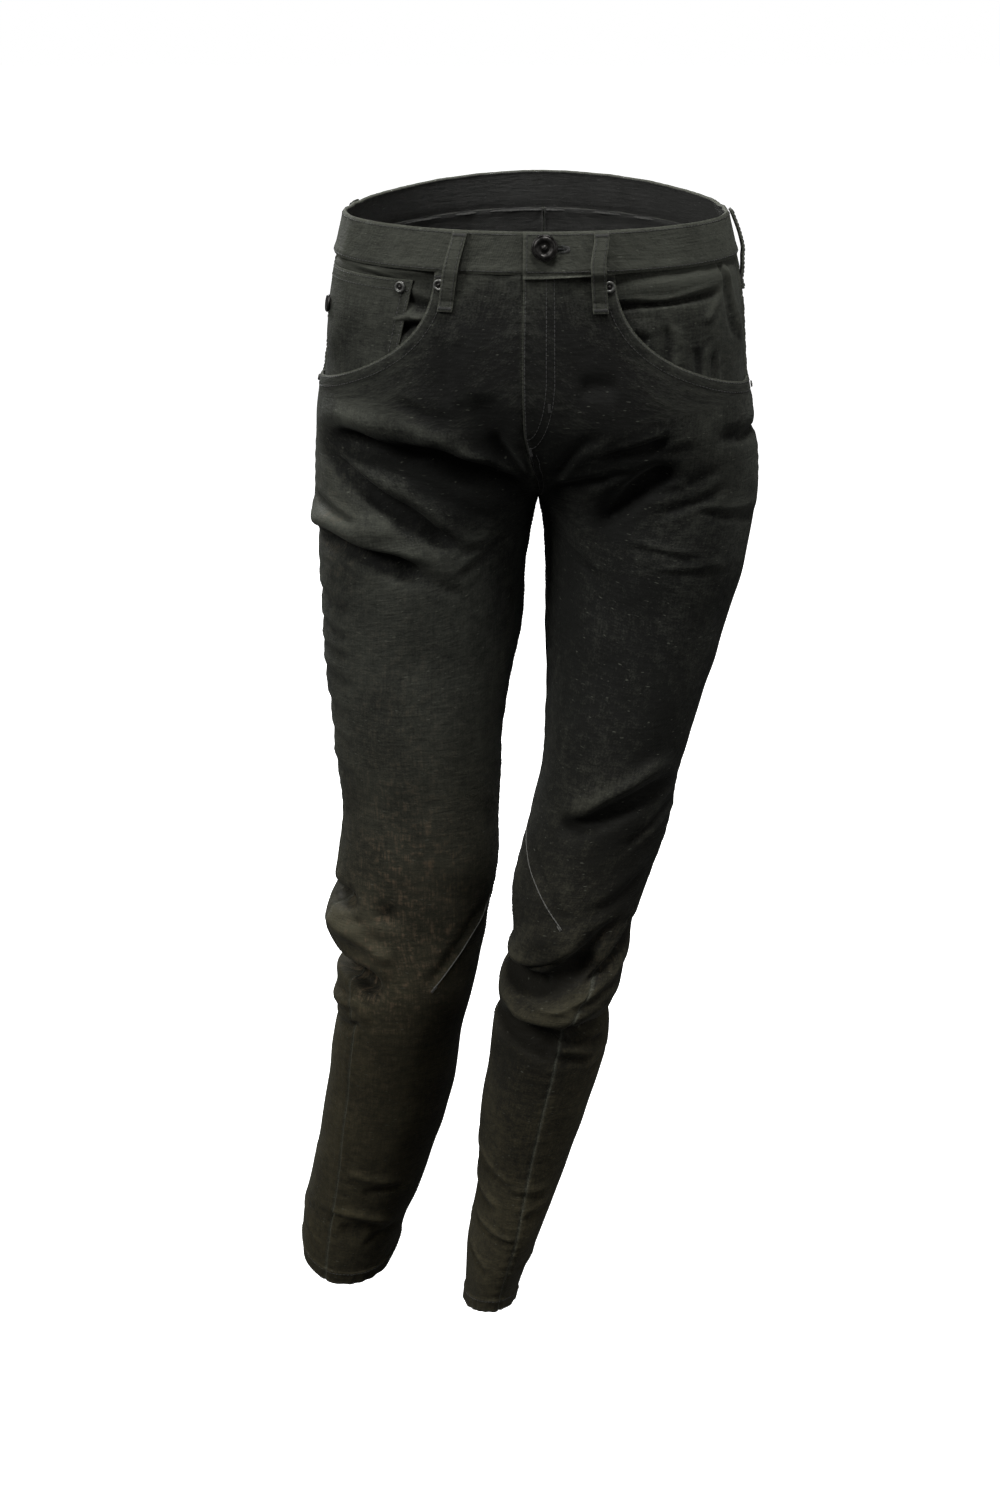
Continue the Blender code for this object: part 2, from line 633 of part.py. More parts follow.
def turned(name, profile, steps, place, material):
    """A turned fitting. profile runs from the axis outwards, as (radius, height)."""
    mesh = bmesh.new()
    verts = [mesh.verts.new((radius, 0, height)) for radius, height in profile]
    edges = [mesh.edges.new(pair) for pair in zip(verts, verts[1:])]
    bmesh.ops.spin(
        mesh,
        geom=verts + edges,
        cent=(0, 0, 0),
        axis=(0, 0, 1),
        angle=2 * math.pi,
        steps=steps,
        use_merge=True,
    )
    bmesh.ops.remove_doubles(mesh, verts=mesh.verts[:], dist=0.00001)
    bmesh.ops.transform(mesh, matrix=place, verts=mesh.verts[:])
    item = add_object(name, mesh, material)
    item.data.shade_smooth()
    item.data.set_sharp_from_angle(angle=math.radians(40))
    return item


def frame_at(side, turn, level, height):
    """A matrix whose Z faces out of the cloth at a place on it."""
    points, normals = cloth_point(side, np.array([turn]), np.array([level]), height)
    facing = Vector(normals[0])
    spin = facing.to_track_quat("Z", "Y").to_matrix().to_4x4()
    return Matrix.Translation(Vector(points[0])) @ spin


BUTTON_RADIUS = 0.0095
BUTTON_TURN = 0.065
BUTTON_LEVEL = 0.0115


def button(material):
    """A metal jeans button: a shank, a domed rim and a sunk middle with a stud."""
    rim = BUTTON_RADIUS
    profile = [
        (0.0, 0.0),
        (rim * 0.30, 0.0),
        (rim * 0.30, 0.0016),
        (rim * 0.92, 0.0016),
        (rim, 0.0026),
        (rim * 0.94, 0.0040),
        (rim * 0.66, 0.0046),
        (rim * 0.48, 0.0030),
        (rim * 0.24, 0.0030),
        (rim * 0.20, 0.0044),
        (0.0, 0.0046),
    ]
    over_band = band_height(BUTTON_TURN) + LAYER_GAP
    place = frame_at(LEFT, BUTTON_TURN, BUTTON_LEVEL, over_band)
    return turned("button", profile, 20, place, material)


RIVET_RADIUS = 0.0044
SIDE_RIVET_RADIUS = 0.0026
Rivet = namedtuple("Rivet", "name side turn level radius on_coin_pocket")
RIVETS = [
    Rivet("rivet_pocket_left", LEFT, 0.250, 0.0405, RIVET_RADIUS, False),
    Rivet("rivet_pocket_right", RIGHT, 0.252, 0.0405, RIVET_RADIUS, False),
    Rivet("rivet_coin", RIGHT, 0.385, 0.0445, RIVET_RADIUS, True),
    Rivet("rivet_side_left", LEFT, 0.965, 0.1300, SIDE_RIVET_RADIUS, False),
    Rivet("rivet_side_right", RIGHT, 0.965, 0.1300, SIDE_RIVET_RADIUS, False),
]


def rivet(spec, material):
    """A washer rivet with a sunk middle and a nipple."""
    edge = spec.radius
    profile = [
        (0.0, 0.0),
        (edge, 0.0),
        (edge * 0.95, 0.0008),
        (edge * 0.72, 0.0013),
        (edge * 0.45, 0.0007),
        (edge * 0.22, 0.0014),
        (0.0, 0.0016),
    ]
    seat = coin_face(spec.turn, spec.level) if spec.on_coin_pocket else 0.0
    place = frame_at(spec.side, spec.turn, spec.level, seat + LAYER_GAP)
    return turned(spec.name, profile, 12, place, material)


STUD_TURN = 0.800
STUD_LEVEL = 0.068


def coin_stud(material):
    """The plain round stud sewn to the coin pocket near the outseam."""
    profile = [
        (0.0, 0.0),
        (0.0062, 0.0),
        (0.0068, 0.0009),
        (0.0060, 0.0022),
        (0.0040, 0.0020),
        (0.0, 0.0022),
    ]
    seat = coin_face(STUD_TURN, STUD_LEVEL)
    place = frame_at(RIGHT, STUD_TURN, STUD_LEVEL, seat + LAYER_GAP)
    return turned("coin_stud", profile, 16, place, material)


def build_jeans():
    new_collection("jeans")
    denim = cloth_material("black_denim", OLIVE_BLACK, 0.85, 0.0)
    dark_metal = cloth_material("dark_metal", METAL_BLACK, 0.45, 0.9)
    grey_metal = cloth_material("grey_metal", METAL_GREY, 0.4, 0.9)
    for side, word in ((LEFT, "left"), (RIGHT, "right")):
        front_panel(side, "front_" + word, denim)
        back_panel(side, "back_" + word, denim)
        yoke(side, "yoke_" + word, denim)
        pocket_facing(side, "pocket_facing_" + word, denim)
        back_pocket(side, "back_pocket_" + word, denim)
    waistband(denim)
    fly_placket(denim)
    coin_pocket(denim)
    for loop in BELT_LOOPS:
        belt_loop(loop, denim)
    button(dark_metal)
    coin_stud(dark_metal)
    for spec in RIVETS:
        rivet(spec, grey_metal)


for leftover in list(bpy.data.objects):
    bpy.data.objects.remove(leftover)
build_jeans()
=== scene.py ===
import math
from collections import namedtuple

import bmesh
import bpy
import numpy as np
from mathutils import Matrix, Vector


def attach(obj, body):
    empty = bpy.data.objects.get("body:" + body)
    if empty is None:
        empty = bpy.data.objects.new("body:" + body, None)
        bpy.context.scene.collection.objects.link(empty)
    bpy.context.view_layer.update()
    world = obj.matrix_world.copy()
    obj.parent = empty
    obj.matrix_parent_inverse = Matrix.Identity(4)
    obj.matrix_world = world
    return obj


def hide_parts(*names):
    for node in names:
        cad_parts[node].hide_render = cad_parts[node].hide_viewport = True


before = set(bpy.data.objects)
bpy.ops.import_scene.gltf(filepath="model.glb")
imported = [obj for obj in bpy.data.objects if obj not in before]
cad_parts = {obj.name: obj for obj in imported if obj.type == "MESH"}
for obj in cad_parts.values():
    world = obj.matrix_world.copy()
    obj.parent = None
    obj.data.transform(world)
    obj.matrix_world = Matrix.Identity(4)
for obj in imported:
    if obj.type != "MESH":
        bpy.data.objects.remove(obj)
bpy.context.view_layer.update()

bl_info = {
    "name": "Boyfriend jeans",
    "version": (1, 0, 0),
    "blender": (4, 5, 0),
    "location": "3D View > Sidebar > Jeans",
    "description": "Cloth, stitching and metal fittings of a pair of worn black denim jeans",
    "category": "Object",
}

LEFT = 1
RIGHT = -1

# Cloth and seams
DENIM = 0.0014
POCKET_CLOTH = 0.0011
SEAM_GAP = 0.0004
LAYER_GAP = 0.0005
WAISTBAND_HEIGHT = 0.031
WAISTBAND_THICKNESS = 0.0026
WAISTBAND_PROUD = 0.0011
BAND_TUCK = 0.003
CREASE_STRENGTH = 1.8
CREASE_WANDER = 0.25
CREASE_WANDER_RATE = 110
CREASE_SWELL = 0.3
CREASE_SWELL_RATE = 70
CREASE_SWELL_SHIFT = 2.1
LIP_PLACE = 1.7
LIP_WIDTH = 1.15
FOLD_ENDS = 0.22
FOLD_DEEPENING = 0.5
FACING_SLOPE = 1.2
UNEVEN_SEED = 11
UNEVEN_WAVES = 12
UNEVEN_LENGTHS = (0.03, 0.11)
UNEVEN_HEIGHT = 0.00035
# Depth of a crease trough at which its painted shade is full
CREASE_SHADE_DEPTH = 0.0042
CROTCH_DEPTH = 0.217
HEM_DEPTH = 0.013
HEM_STEP = 0.0016
HEM_EDGE = 0.0015
HEM_PROUD = 0.0009
HEM_RIPPLE = 0.0005
HEM_STITCHES = 0.0105
HEM_LEVEL = {LEFT: 0.913, RIGHT: 0.931}
PELVIS_TURN = math.radians(-5.0)
HIP_SQUARENESS = 2.35
LEG_SQUARENESS = 2.1
FRONT_DIP = 0.006
BACK_RISE = 0.020
WAIST_TILT_FADE = 0.17
RISE_START = 0.12
CROTCH_ROW = 0.285
FLAT_ROW = 0.42
TWIST_TOP = -0.15
TWIST_END = -0.217
SCOOP_TURN = 0.27
SCOOP_LEVEL = 0.124
SCOOP_ROUNDNESS = 2.5
FRONT_SLANT_LEVEL = 0.150
YOKE_SIDE = 0.032
YOKE_BACK = 0.072
HEM_TILT = {LEFT: -0.44, RIGHT: 0.24}
HEM_TILT_START = 0.80
KNEE_TOP = 0.535
KNEE_FOOT = 0.675

HipRow = namedtuple("HipRow", "z front back")
LegRow = namedtuple("LegRow", "z inner outer centre_y girth inseam outseam")
Fold = namedtuple("Fold", "side face x_start z_start x_end z_end bow width depth")
Crease = namedtuple("Crease", Fold._fields + ("lip",))
Spot = namedtuple("Spot", "side x z half_width half_height amount")
Relief = namedtuple("Relief", "height place width")

# Ridges and grooves beside an edge: height, distance from the edge, and width
SEAM_ROLL = Relief(-0.0009, 0.0, 0.0012)
SEAM_SWELL = Relief(0.0004, 0.0048, 0.0035)
SCOOP_ROLL = Relief(-0.0006, 0.0, 0.0010)
SCOOP_SWELL = Relief(0.0005, 0.0055, 0.0045)
BAND_SWELL = Relief(0.0006, 0.0036, 0.0022)
COIN_HEM_SWELL = Relief(0.0003, 0.006, 0.005)
BACK_POCKET_ROLL = Relief(-0.0008, 0.0, 0.0011)
BACK_POCKET_SWELL = Relief(0.0004, 0.005, 0.003)
LOOP_ROLL = Relief(-0.0006, 0.0, 0.0009)
PUCKER_REACH = 0.0085

# The seams of waist and yoke are flatter than those down the legs
WAIST_SEAM_SHARE = 0.5
YOKE_SEAM_SHARE = 0.6

# Where along each seam its ripples start
INSEAM_PHASE = 1.0
OUTSEAM_PHASE = 2.0
WAIST_PHASE = 0.3
YOKE_PHASE = 0.7

SIDES = ((LEFT, "left"), (RIGHT, "right"))

HIP_ROWS = [
    HipRow(0.03, 0.100, 0.101),
    HipRow(0.00, 0.103, 0.108),
    HipRow(-0.05, 0.108, 0.121),
    HipRow(-0.10, 0.112, 0.133),
    HipRow(-0.16, 0.113, 0.132),
    HipRow(-0.22, 0.110, 0.120),
]
LEG_ROWS = {
    LEFT: [
        LegRow(0.030, 0.000, 0.139, 0.004, 0.58, 0, 180),
        LegRow(0.000, 0.000, 0.146, 0.004, 0.58, 0, 180),
        LegRow(-0.030, 0.000, 0.154, 0.004, 0.58, 0, 180),
        LegRow(-0.070, 0.000, 0.161, 0.004, 0.58, 0, 180),
        LegRow(-0.110, 0.000, 0.165, 0.004, 0.58, 0, 180),
        LegRow(-0.154, 0.001, 0.173, 0.004, 0.58, 0, 180),
        LegRow(-0.190, 0.003, 0.177, 0.006, 0.588, 0, 180),
        LegRow(-0.217, 0.0045, 0.178, 0.007, 0.590, 0, 180),
        LegRow(-0.240, 0.0082, 0.176, 0.006, 0.578, 0, 180),
        LegRow(-0.285, 0.0092, 0.166, 0.000, 0.548, 0, 180),
        LegRow(-0.335, 0.0115, 0.151, -0.012, 0.512, 0, 180),
        LegRow(-0.385, 0.0105, 0.133, -0.027, 0.473, 0, 178),
        LegRow(-0.435, 0.0085, 0.119, -0.042, 0.438, 0, 172),
        LegRow(-0.480, -0.0030, 0.108, -0.053, 0.410, -2, 163),
        LegRow(-0.530, -0.0145, 0.0905, -0.062, 0.400, -6, 146),
        LegRow(-0.580, -0.0180, 0.077, -0.068, 0.392, -12, 118),
        LegRow(-0.620, -0.0275, 0.068, -0.071, 0.380, -18, 99),
        LegRow(-0.670, -0.0340, 0.061, -0.073, 0.368, -24, 92),
        LegRow(-0.740, -0.0420, 0.0415, -0.074, 0.354, -30, 91),
        LegRow(-0.815, -0.0475, 0.0165, -0.075, 0.342, -34, 96),
        LegRow(-0.880, -0.0560, -0.0045, -0.076, 0.332, -36, 108),
        LegRow(-0.930, -0.0580, -0.0185, -0.077, 0.325, -36, 118),
    ],
    RIGHT: [
        LegRow(0.030, 0.000, 0.136, 0.004, 0.58, 0, 180),
        LegRow(0.000, 0.000, 0.144, 0.004, 0.58, 0, 180),
        LegRow(-0.030, 0.000, 0.152, 0.004, 0.58, 0, 180),
        LegRow(-0.070, 0.000, 0.159, 0.004, 0.58, 0, 180),
        LegRow(-0.110, 0.000, 0.1635, 0.004, 0.58, 0, 180),
        LegRow(-0.154, -0.001, 0.170, 0.004, 0.58, 0, 180),
        LegRow(-0.190, -0.003, 0.172, 0.006, 0.588, 0, 180),
        LegRow(-0.217, -0.0045, 0.172, 0.008, 0.590, 0, 180),
        LegRow(-0.240, 0.0004, 0.172, 0.008, 0.578, 0, 180),
        LegRow(-0.285, 0.0048, 0.171, 0.005, 0.548, 0, 180),
        LegRow(-0.335, 0.0105, 0.169, 0.000, 0.512, 0, 180),
        LegRow(-0.385, 0.0205, 0.165, -0.005, 0.473, 0, 178),
        LegRow(-0.435, 0.0262, 0.160, -0.008, 0.438, 0, 175),
        LegRow(-0.480, 0.0272, 0.156, -0.011, 0.410, 0, 172),
        LegRow(-0.530, 0.0290, 0.163, -0.012, 0.400, -2, 166),
        LegRow(-0.580, 0.0360, 0.169, -0.010, 0.392, -5, 156),
        LegRow(-0.620, 0.0430, 0.166, -0.005, 0.382, -9, 144),
        LegRow(-0.670, 0.0530, 0.166, 0.003, 0.370, -14, 135),
        LegRow(-0.720, 0.0620, 0.174, 0.012, 0.360, -18, 131),
        LegRow(-0.780, 0.0745, 0.183, 0.022, 0.350, -22, 128),
        LegRow(-0.840, 0.0910, 0.193, 0.034, 0.341, -25, 124),
        LegRow(-0.890, 0.1085, 0.204, 0.044, 0.332, -27, 119),
        LegRow(-0.945, 0.1245, 0.209, 0.053, 0.325, -28, 115),
    ],
}

# The largest folds, the same as the solids have
FOLDS = [
    Fold(RIGHT, -1, -0.168, -0.166, -0.006, -0.212, 0.010, 0.011, -0.0095),
    Fold(RIGHT, -1, -0.165, -0.176, -0.050, -0.250, -0.004, 0.008, -0.0050),
    Fold(RIGHT, -1, -0.185, -0.237, -0.100, -0.233, 0.002, 0.012, 0.0075),
    Fold(RIGHT, -1, -0.180, -0.250, -0.082, -0.272, 0.007, 0.007, -0.0060),
    Fold(LEFT, -1, 0.110, -0.180, 0.045, -0.232, -0.003, 0.010, -0.0065),
    Fold(LEFT, -1, 0.045, -0.172, 0.104, -0.158, -0.002, 0.006, -0.0030),
    Fold(LEFT, -1, 0.135, -0.160, 0.185, -0.166, 0.002, 0.006, -0.0030),
    Fold(RIGHT, -1, -0.185, -0.553, -0.140, -0.551, 0.000, 0.008, -0.0055),
    Fold(RIGHT, -1, -0.185, -0.595, -0.115, -0.560, 0.004, 0.012, 0.0050),
    Fold(RIGHT, -1, -0.180, -0.610, -0.128, -0.628, 0.004, 0.008, -0.0090),
    Fold(RIGHT, -1, -0.185, -0.650, -0.130, -0.655, 0.000, 0.009, 0.0040),
    Fold(LEFT, -1, 0.112, -0.408, 0.020, -0.458, -0.005, 0.008, 0.0045),
    Fold(LEFT, -1, 0.115, -0.428, 0.015, -0.470, -0.005, 0.008, -0.0060),
    Fold(LEFT, -1, -0.035, -0.588, 0.045, -0.545, -0.006, 0.008, 0.0050),
    Fold(LEFT, -1, -0.035, -0.603, 0.055, -0.560, -0.007, 0.009, -0.0080),
    Fold(LEFT, -1, -0.035, -0.618, 0.080, -0.585, -0.015, 0.008, 0.0060),
    Fold(LEFT, -1, -0.035, -0.632, 0.020, -0.648, 0.003, 0.008, -0.0060),
    Fold(LEFT, -1, 0.028, -0.632, 0.075, -0.630, 0.000, 0.007, -0.0050),
    Fold(RIGHT, 1, -0.175, -0.262, -0.020, -0.248, 0.012, 0.016, -0.0045),
    Fold(LEFT, 1, 0.180, -0.262, 0.025, -0.250, -0.012, 0.016, -0.0045),
    Fold(RIGHT, 1, -0.155, -0.548, -0.030, -0.582, 0.007, 0.011, -0.0065),
    Fold(RIGHT, 1, -0.190, -0.612, -0.060, -0.600, -0.009, 0.010, -0.0080),
    Fold(RIGHT, 1, -0.140, -0.655, -0.045, -0.628, 0.005, 0.009, -0.0045),
    Fold(LEFT, 1, 0.085, -0.562, -0.028, -0.578, -0.008, 0.011, -0.0070),
    Fold(LEFT, 1, 0.092, -0.596, -0.010, -0.606, 0.007, 0.009, -0.0050),
    Fold(LEFT, 1, 0.062, -0.652, -0.042, -0.634, -0.006, 0.010, -0.0065),
]

# Finer creases of the cloth. A lip is a ridge along one side of a crease, as a share of its depth.
CREASES = [
    Crease(RIGHT, -1, -0.178, -0.166, 0.004, -0.208, 0.010, 0.0085, -0.0040, 0.4),
    Crease(RIGHT, -1, -0.120, -0.166, 0.004, -0.204, 0.006, 0.0100, -0.0026, 0.0),
    Crease(RIGHT, -1, -0.170, -0.146, -0.030, -0.184, 0.010, 0.0110, 0.0014, 0.0),
    Crease(RIGHT, -1, -0.075, -0.076, -0.064, -0.138, 0.002, 0.0045, -0.0011, 0.5),
    Crease(RIGHT, -1, -0.058, -0.080, -0.050, -0.130, -0.001, 0.0050, -0.0008, 0.4),
    Crease(RIGHT, -1, -0.110, -0.130, -0.060, -0.150, 0.002, 0.0060, -0.0008, 0.4),
    Crease(RIGHT, -1, -0.100, -0.196, -0.030, -0.226, 0.004, 0.0060, -0.0012, 0.5),
    Crease(RIGHT, -1, -0.172, -0.172, -0.050, -0.250, 0.002, 0.0055, -0.0034, 0.4),
    Crease(RIGHT, -1, -0.064, -0.166, 0.000, -0.190, 0.003, 0.0036, 0.0016, 0.0),
    Crease(RIGHT, -1, -0.184, -0.244, -0.080, -0.266, 0.006, 0.0055, -0.0034, 0.5),
    Crease(RIGHT, -1, -0.174, -0.218, -0.136, -0.226, 0.000, 0.0040, -0.0024, 0.3),
    Crease(RIGHT, -1, -0.070, -0.182, 0.000, -0.213, 0.003, 0.0050, -0.0020, 0.6),
    Crease(RIGHT, -1, -0.045, -0.120, -0.022, -0.186, 0.002, 0.0120, -0.0022, 0.0),
    Crease(RIGHT, -1, -0.032, -0.150, -0.006, -0.196, 0.000, 0.0060, -0.0018, 0.4),
    Crease(RIGHT, -1, -0.150, -0.146, -0.070, -0.156, 0.003, 0.0080, 0.0014, 0.0),
    Crease(RIGHT, -1, -0.110, -0.262, -0.050, -0.284, 0.003, 0.0060, -0.0012, 0.4),
    Crease(RIGHT, -1, -0.062, -0.255, -0.020, -0.240, 0.001, 0.0045, -0.0010, 0.5),
    Crease(RIGHT, -1, -0.060, -0.275, -0.010, -0.232, 0.002, 0.0050, -0.0012, 0.4),
    Crease(RIGHT, -1, -0.178, -0.296, -0.140, -0.301, 0.001, 0.0042, -0.0013, 0.6),
    Crease(RIGHT, -1, -0.176, -0.318, -0.143, -0.322, -0.001, 0.0040, -0.0012, 0.6),
    Crease(RIGHT, -1, -0.176, -0.339, -0.146, -0.341, 0.001, 0.0038, -0.0011, 0.6),
    Crease(RIGHT, -1, -0.174, -0.360, -0.143, -0.364, 0.001, 0.0040, -0.0012, 0.6),
    Crease(RIGHT, -1, -0.172, -0.386, -0.146, -0.388, -0.001, 0.0038, -0.0010, 0.6),
    Crease(RIGHT, -1, -0.170, -0.410, -0.143, -0.414, 0.000, 0.0040, -0.0012, 0.6),
    Crease(RIGHT, -1, -0.167, -0.438, -0.142, -0.441, 0.000, 0.0040, -0.0010, 0.6),
    Crease(RIGHT, -1, -0.172, -0.552, -0.148, -0.552, 0.000, 0.0045, -0.0022, 0.3),
    Crease(RIGHT, -1, -0.176, -0.612, -0.120, -0.634, 0.003, 0.0080, -0.0050, 0.4),
    Crease(RIGHT, -1, -0.178, -0.568, -0.112, -0.602, 0.002, 0.0070, 0.0026, 0.0),
    Crease(RIGHT, -1, -0.156, -0.572, -0.104, -0.556, 0.002, 0.0100, -0.0024, 0.0),
    Crease(RIGHT, -1, -0.036, -0.550, -0.090, -0.628, 0.002, 0.0040, -0.0012, 0.0),
    Crease(RIGHT, -1, -0.178, -0.653, -0.136, -0.643, 0.000, 0.0045, 0.0012, 0.0),
    Crease(RIGHT, -1, -0.176, -0.682, -0.142, -0.666, 0.000, 0.0045, -0.0018, 0.3),
    Crease(RIGHT, -1, -0.190, -0.548, -0.144, -0.555, 0.000, 0.0070, -0.0030, 0.0),
    Crease(RIGHT, -1, -0.166, -0.574, -0.140, -0.566, 0.001, 0.0040, -0.0011, 0.5),
    Crease(RIGHT, -1, -0.160, -0.636, -0.150, -0.660, 0.000, 0.0050, -0.0014, 0.0),
    Crease(RIGHT, -1, -0.030, -0.553, -0.084, -0.629, 0.002, 0.0011, 0.0007, 0.0),
    Crease(RIGHT, -1, -0.162, -0.826, -0.118, -0.832, 0.001, 0.0035, 0.0012, -0.6),
    Crease(RIGHT, -1, -0.150, -0.845, -0.110, -0.838, 0.001, 0.0040, -0.0012, 0.5),
    Crease(RIGHT, -1, -0.190, -0.868, -0.118, -0.880, 0.004, 0.0035, 0.0014, -0.7),
    Crease(RIGHT, -1, -0.172, -0.884, -0.128, -0.892, 0.001, 0.0060, -0.0022, 0.3),
    Crease(RIGHT, -1, -0.204, -0.880, -0.186, -0.915, -0.002, 0.0035, 0.0010, -0.5),
    Crease(RIGHT, -1, -0.150, -0.905, -0.115, -0.885, 0.001, 0.0040, -0.0012, 0.5),
    Crease(LEFT, -1, 0.108, -0.178, 0.048, -0.230, -0.003, 0.0055, -0.0028, 0.5),
    Crease(LEFT, -1, 0.050, -0.150, 0.010, -0.192, -0.002, 0.0055, -0.0012, 0.5),
    Crease(LEFT, -1, 0.076, -0.186, 0.030, -0.196, -0.002, 0.0042, -0.0012, 0.5),
    Crease(LEFT, -1, 0.140, -0.184, 0.110, -0.196, 0.001, 0.0040, -0.0010, 0.5),
    Crease(LEFT, -1, 0.150, -0.200, 0.090, -0.222, -0.002, 0.0045, -0.0010, 0.5),
    Crease(LEFT, -1, 0.042, -0.172, 0.102, -0.156, -0.002, 0.0026, -0.0016, 0.6),
    Crease(LEFT, -1, 0.089, -0.204, 0.112, -0.197, 0.000, 0.0032, -0.0014, 0.5),
    Crease(LEFT, -1, 0.150, -0.166, 0.180, -0.164, 0.001, 0.0030, -0.0014, 0.5),
    Crease(LEFT, -1, 0.122, -0.214, 0.178, -0.234, 0.001, 0.0034, -0.0013, 0.5),
    Crease(LEFT, -1, 0.088, -0.170, 0.122, -0.166, 0.000, 0.0040, -0.0008, 0.5),
    Crease(LEFT, -1, 0.006, -0.205, 0.060, -0.190, 0.002, 0.0050, -0.0015, 0.4),
    Crease(LEFT, -1, 0.030, -0.118, 0.062, -0.118, 0.001, 0.0085, -0.0022, 0.0),
    Crease(LEFT, -1, 0.012, -0.226, 0.052, -0.272, -0.002, 0.0045, -0.0013, 0.4),
    Crease(LEFT, -1, 0.066, -0.236, 0.128, -0.252, 0.002, 0.0035, 0.0008, -0.5),
    Crease(LEFT, -1, 0.090, -0.258, 0.150, -0.262, 0.002, 0.0032, 0.0007, -0.5),
    Crease(LEFT, -1, 0.110, -0.406, 0.028, -0.456, -0.005, 0.0034, 0.0014, -0.4),
    Crease(LEFT, -1, 0.118, -0.448, 0.070, -0.480, -0.004, 0.0040, -0.0014, 0.4),
    Crease(LEFT, -1, -0.008, -0.484, 0.023, -0.540, -0.002, 0.0011, 0.0007, 0.0),
    Crease(LEFT, -1, -0.003, -0.484, 0.028, -0.540, -0.002, 0.0040, -0.0012, 0.0),
    Crease(LEFT, -1, -0.050, -0.592, 0.074, -0.532, -0.010, 0.0085, -0.0040, 0.4),
    Crease(LEFT, -1, -0.050, -0.594, 0.020, -0.590, -0.002, 0.0070, -0.0040, 0.0),
    Crease(LEFT, -1, -0.040, -0.606, 0.034, -0.608, 0.000, 0.0040, 0.0016, 0.0),
    Crease(LEFT, -1, -0.020, -0.622, 0.060, -0.626, -0.004, 0.0085, -0.0030, 0.0),
    Crease(LEFT, -1, -0.060, -0.612, 0.006, -0.604, 0.000, 0.0060, -0.0016, 0.0),
    Crease(LEFT, -1, 0.004, -0.612, 0.088, -0.560, -0.007, 0.0045, 0.0018, 0.0),
    Crease(LEFT, -1, -0.046, -0.600, -0.004, -0.606, 0.000, 0.0038, 0.0014, 0.0),
    Crease(LEFT, -1, -0.034, -0.618, 0.026, -0.646, 0.002, 0.0080, -0.0034, 0.3),
    Crease(LEFT, -1, 0.036, -0.590, 0.086, -0.545, -0.003, 0.0045, -0.0030, 0.0),
    Crease(LEFT, -1, 0.024, -0.624, 0.078, -0.632, 0.000, 0.0042, -0.0030, 0.3),
    Crease(LEFT, -1, 0.012, -0.634, 0.064, -0.646, 0.000, 0.0036, -0.0026, 0.4),
    Crease(LEFT, -1, 0.010, -0.650, 0.048, -0.657, 0.001, 0.0034, -0.0018, 0.5),
    Crease(LEFT, -1, -0.010, -0.596, 0.006, -0.584, 0.000, 0.0035, -0.0012, 0.4),
    Crease(LEFT, -1, 0.044, -0.672, 0.062, -0.662, 0.001, 0.0040, -0.0012, 0.4),
    Crease(LEFT, -1, 0.044, -0.528, 0.090, -0.500, -0.003, 0.0045, -0.0013, 0.4),
    Crease(LEFT, -1, -0.048, -0.752, -0.018, -0.768, 0.001, 0.0028, 0.0013, -0.7),
    Crease(LEFT, -1, -0.020, -0.770, 0.014, -0.772, 0.000, 0.0028, 0.0010, -0.6),
    Crease(LEFT, -1, -0.050, -0.784, -0.028, -0.792, 0.001, 0.0026, 0.0012, -0.7),
    Crease(LEFT, -1, -0.050, -0.812, -0.012, -0.815, 0.001, 0.0026, 0.0013, -0.7),
    Crease(LEFT, -1, -0.054, -0.838, -0.034, -0.846, 0.001, 0.0026, 0.0011, -0.6),
    Crease(LEFT, -1, -0.012, -0.852, 0.004, -0.848, 0.000, 0.0026, 0.0010, -0.6),
    Crease(LEFT, -1, -0.010, -0.790, 0.018, -0.784, 0.000, 0.0030, 0.0010, -0.6),
    Crease(RIGHT, 1, -0.165, -0.262, -0.040, -0.252, 0.012, 0.0050, -0.0014, 0.5),
    Crease(LEFT, 1, 0.165, -0.262, 0.040, -0.252, -0.012, 0.0050, -0.0014, 0.5),
    Crease(RIGHT, 1, -0.110, -0.285, -0.030, -0.262, 0.004, 0.0060, -0.0014, 0.4),
    Crease(LEFT, 1, 0.100, -0.290, 0.030, -0.262, -0.004, 0.0060, -0.0014, 0.4),
    Crease(RIGHT, 1, -0.070, -0.225, -0.012, -0.196, 0.002, 0.0050, -0.0013, 0.4),
    Crease(LEFT, 1, 0.076, -0.230, 0.014, -0.198, -0.002, 0.0050, -0.0013, 0.4),
    Crease(RIGHT, 1, -0.150, -0.550, -0.040, -0.580, 0.007, 0.0045, -0.0022, 0.5),
    Crease(RIGHT, 1, -0.185, -0.613, -0.070, -0.602, -0.009, 0.0042, -0.0026, -0.4),
    Crease(RIGHT, 1, -0.130, -0.655, -0.055, -0.632, 0.005, 0.0040, -0.0014, 0.5),
    Crease(RIGHT, 1, -0.120, -0.592, -0.050, -0.618, 0.004, 0.0036, -0.0012, 0.5),
    Crease(RIGHT, 1, -0.150, -0.690, -0.080, -0.676, 0.004, 0.0050, -0.0012, 0.4),
    Crease(RIGHT, 1, -0.200, -0.862, -0.130, -0.872, 0.002, 0.0035, 0.0011, -0.6),
    Crease(RIGHT, 1, -0.195, -0.830, -0.140, -0.822, 0.002, 0.0035, 0.0010, -0.6),
    Crease(LEFT, 1, 0.080, -0.563, -0.020, -0.578, -0.008, 0.0045, -0.0024, 0.5),
    Crease(LEFT, 1, 0.085, -0.597, 0.000, -0.607, 0.007, 0.0040, -0.0018, 0.5),
    Crease(LEFT, 1, 0.056, -0.652, -0.036, -0.636, -0.006, 0.0042, -0.0020, -0.4),
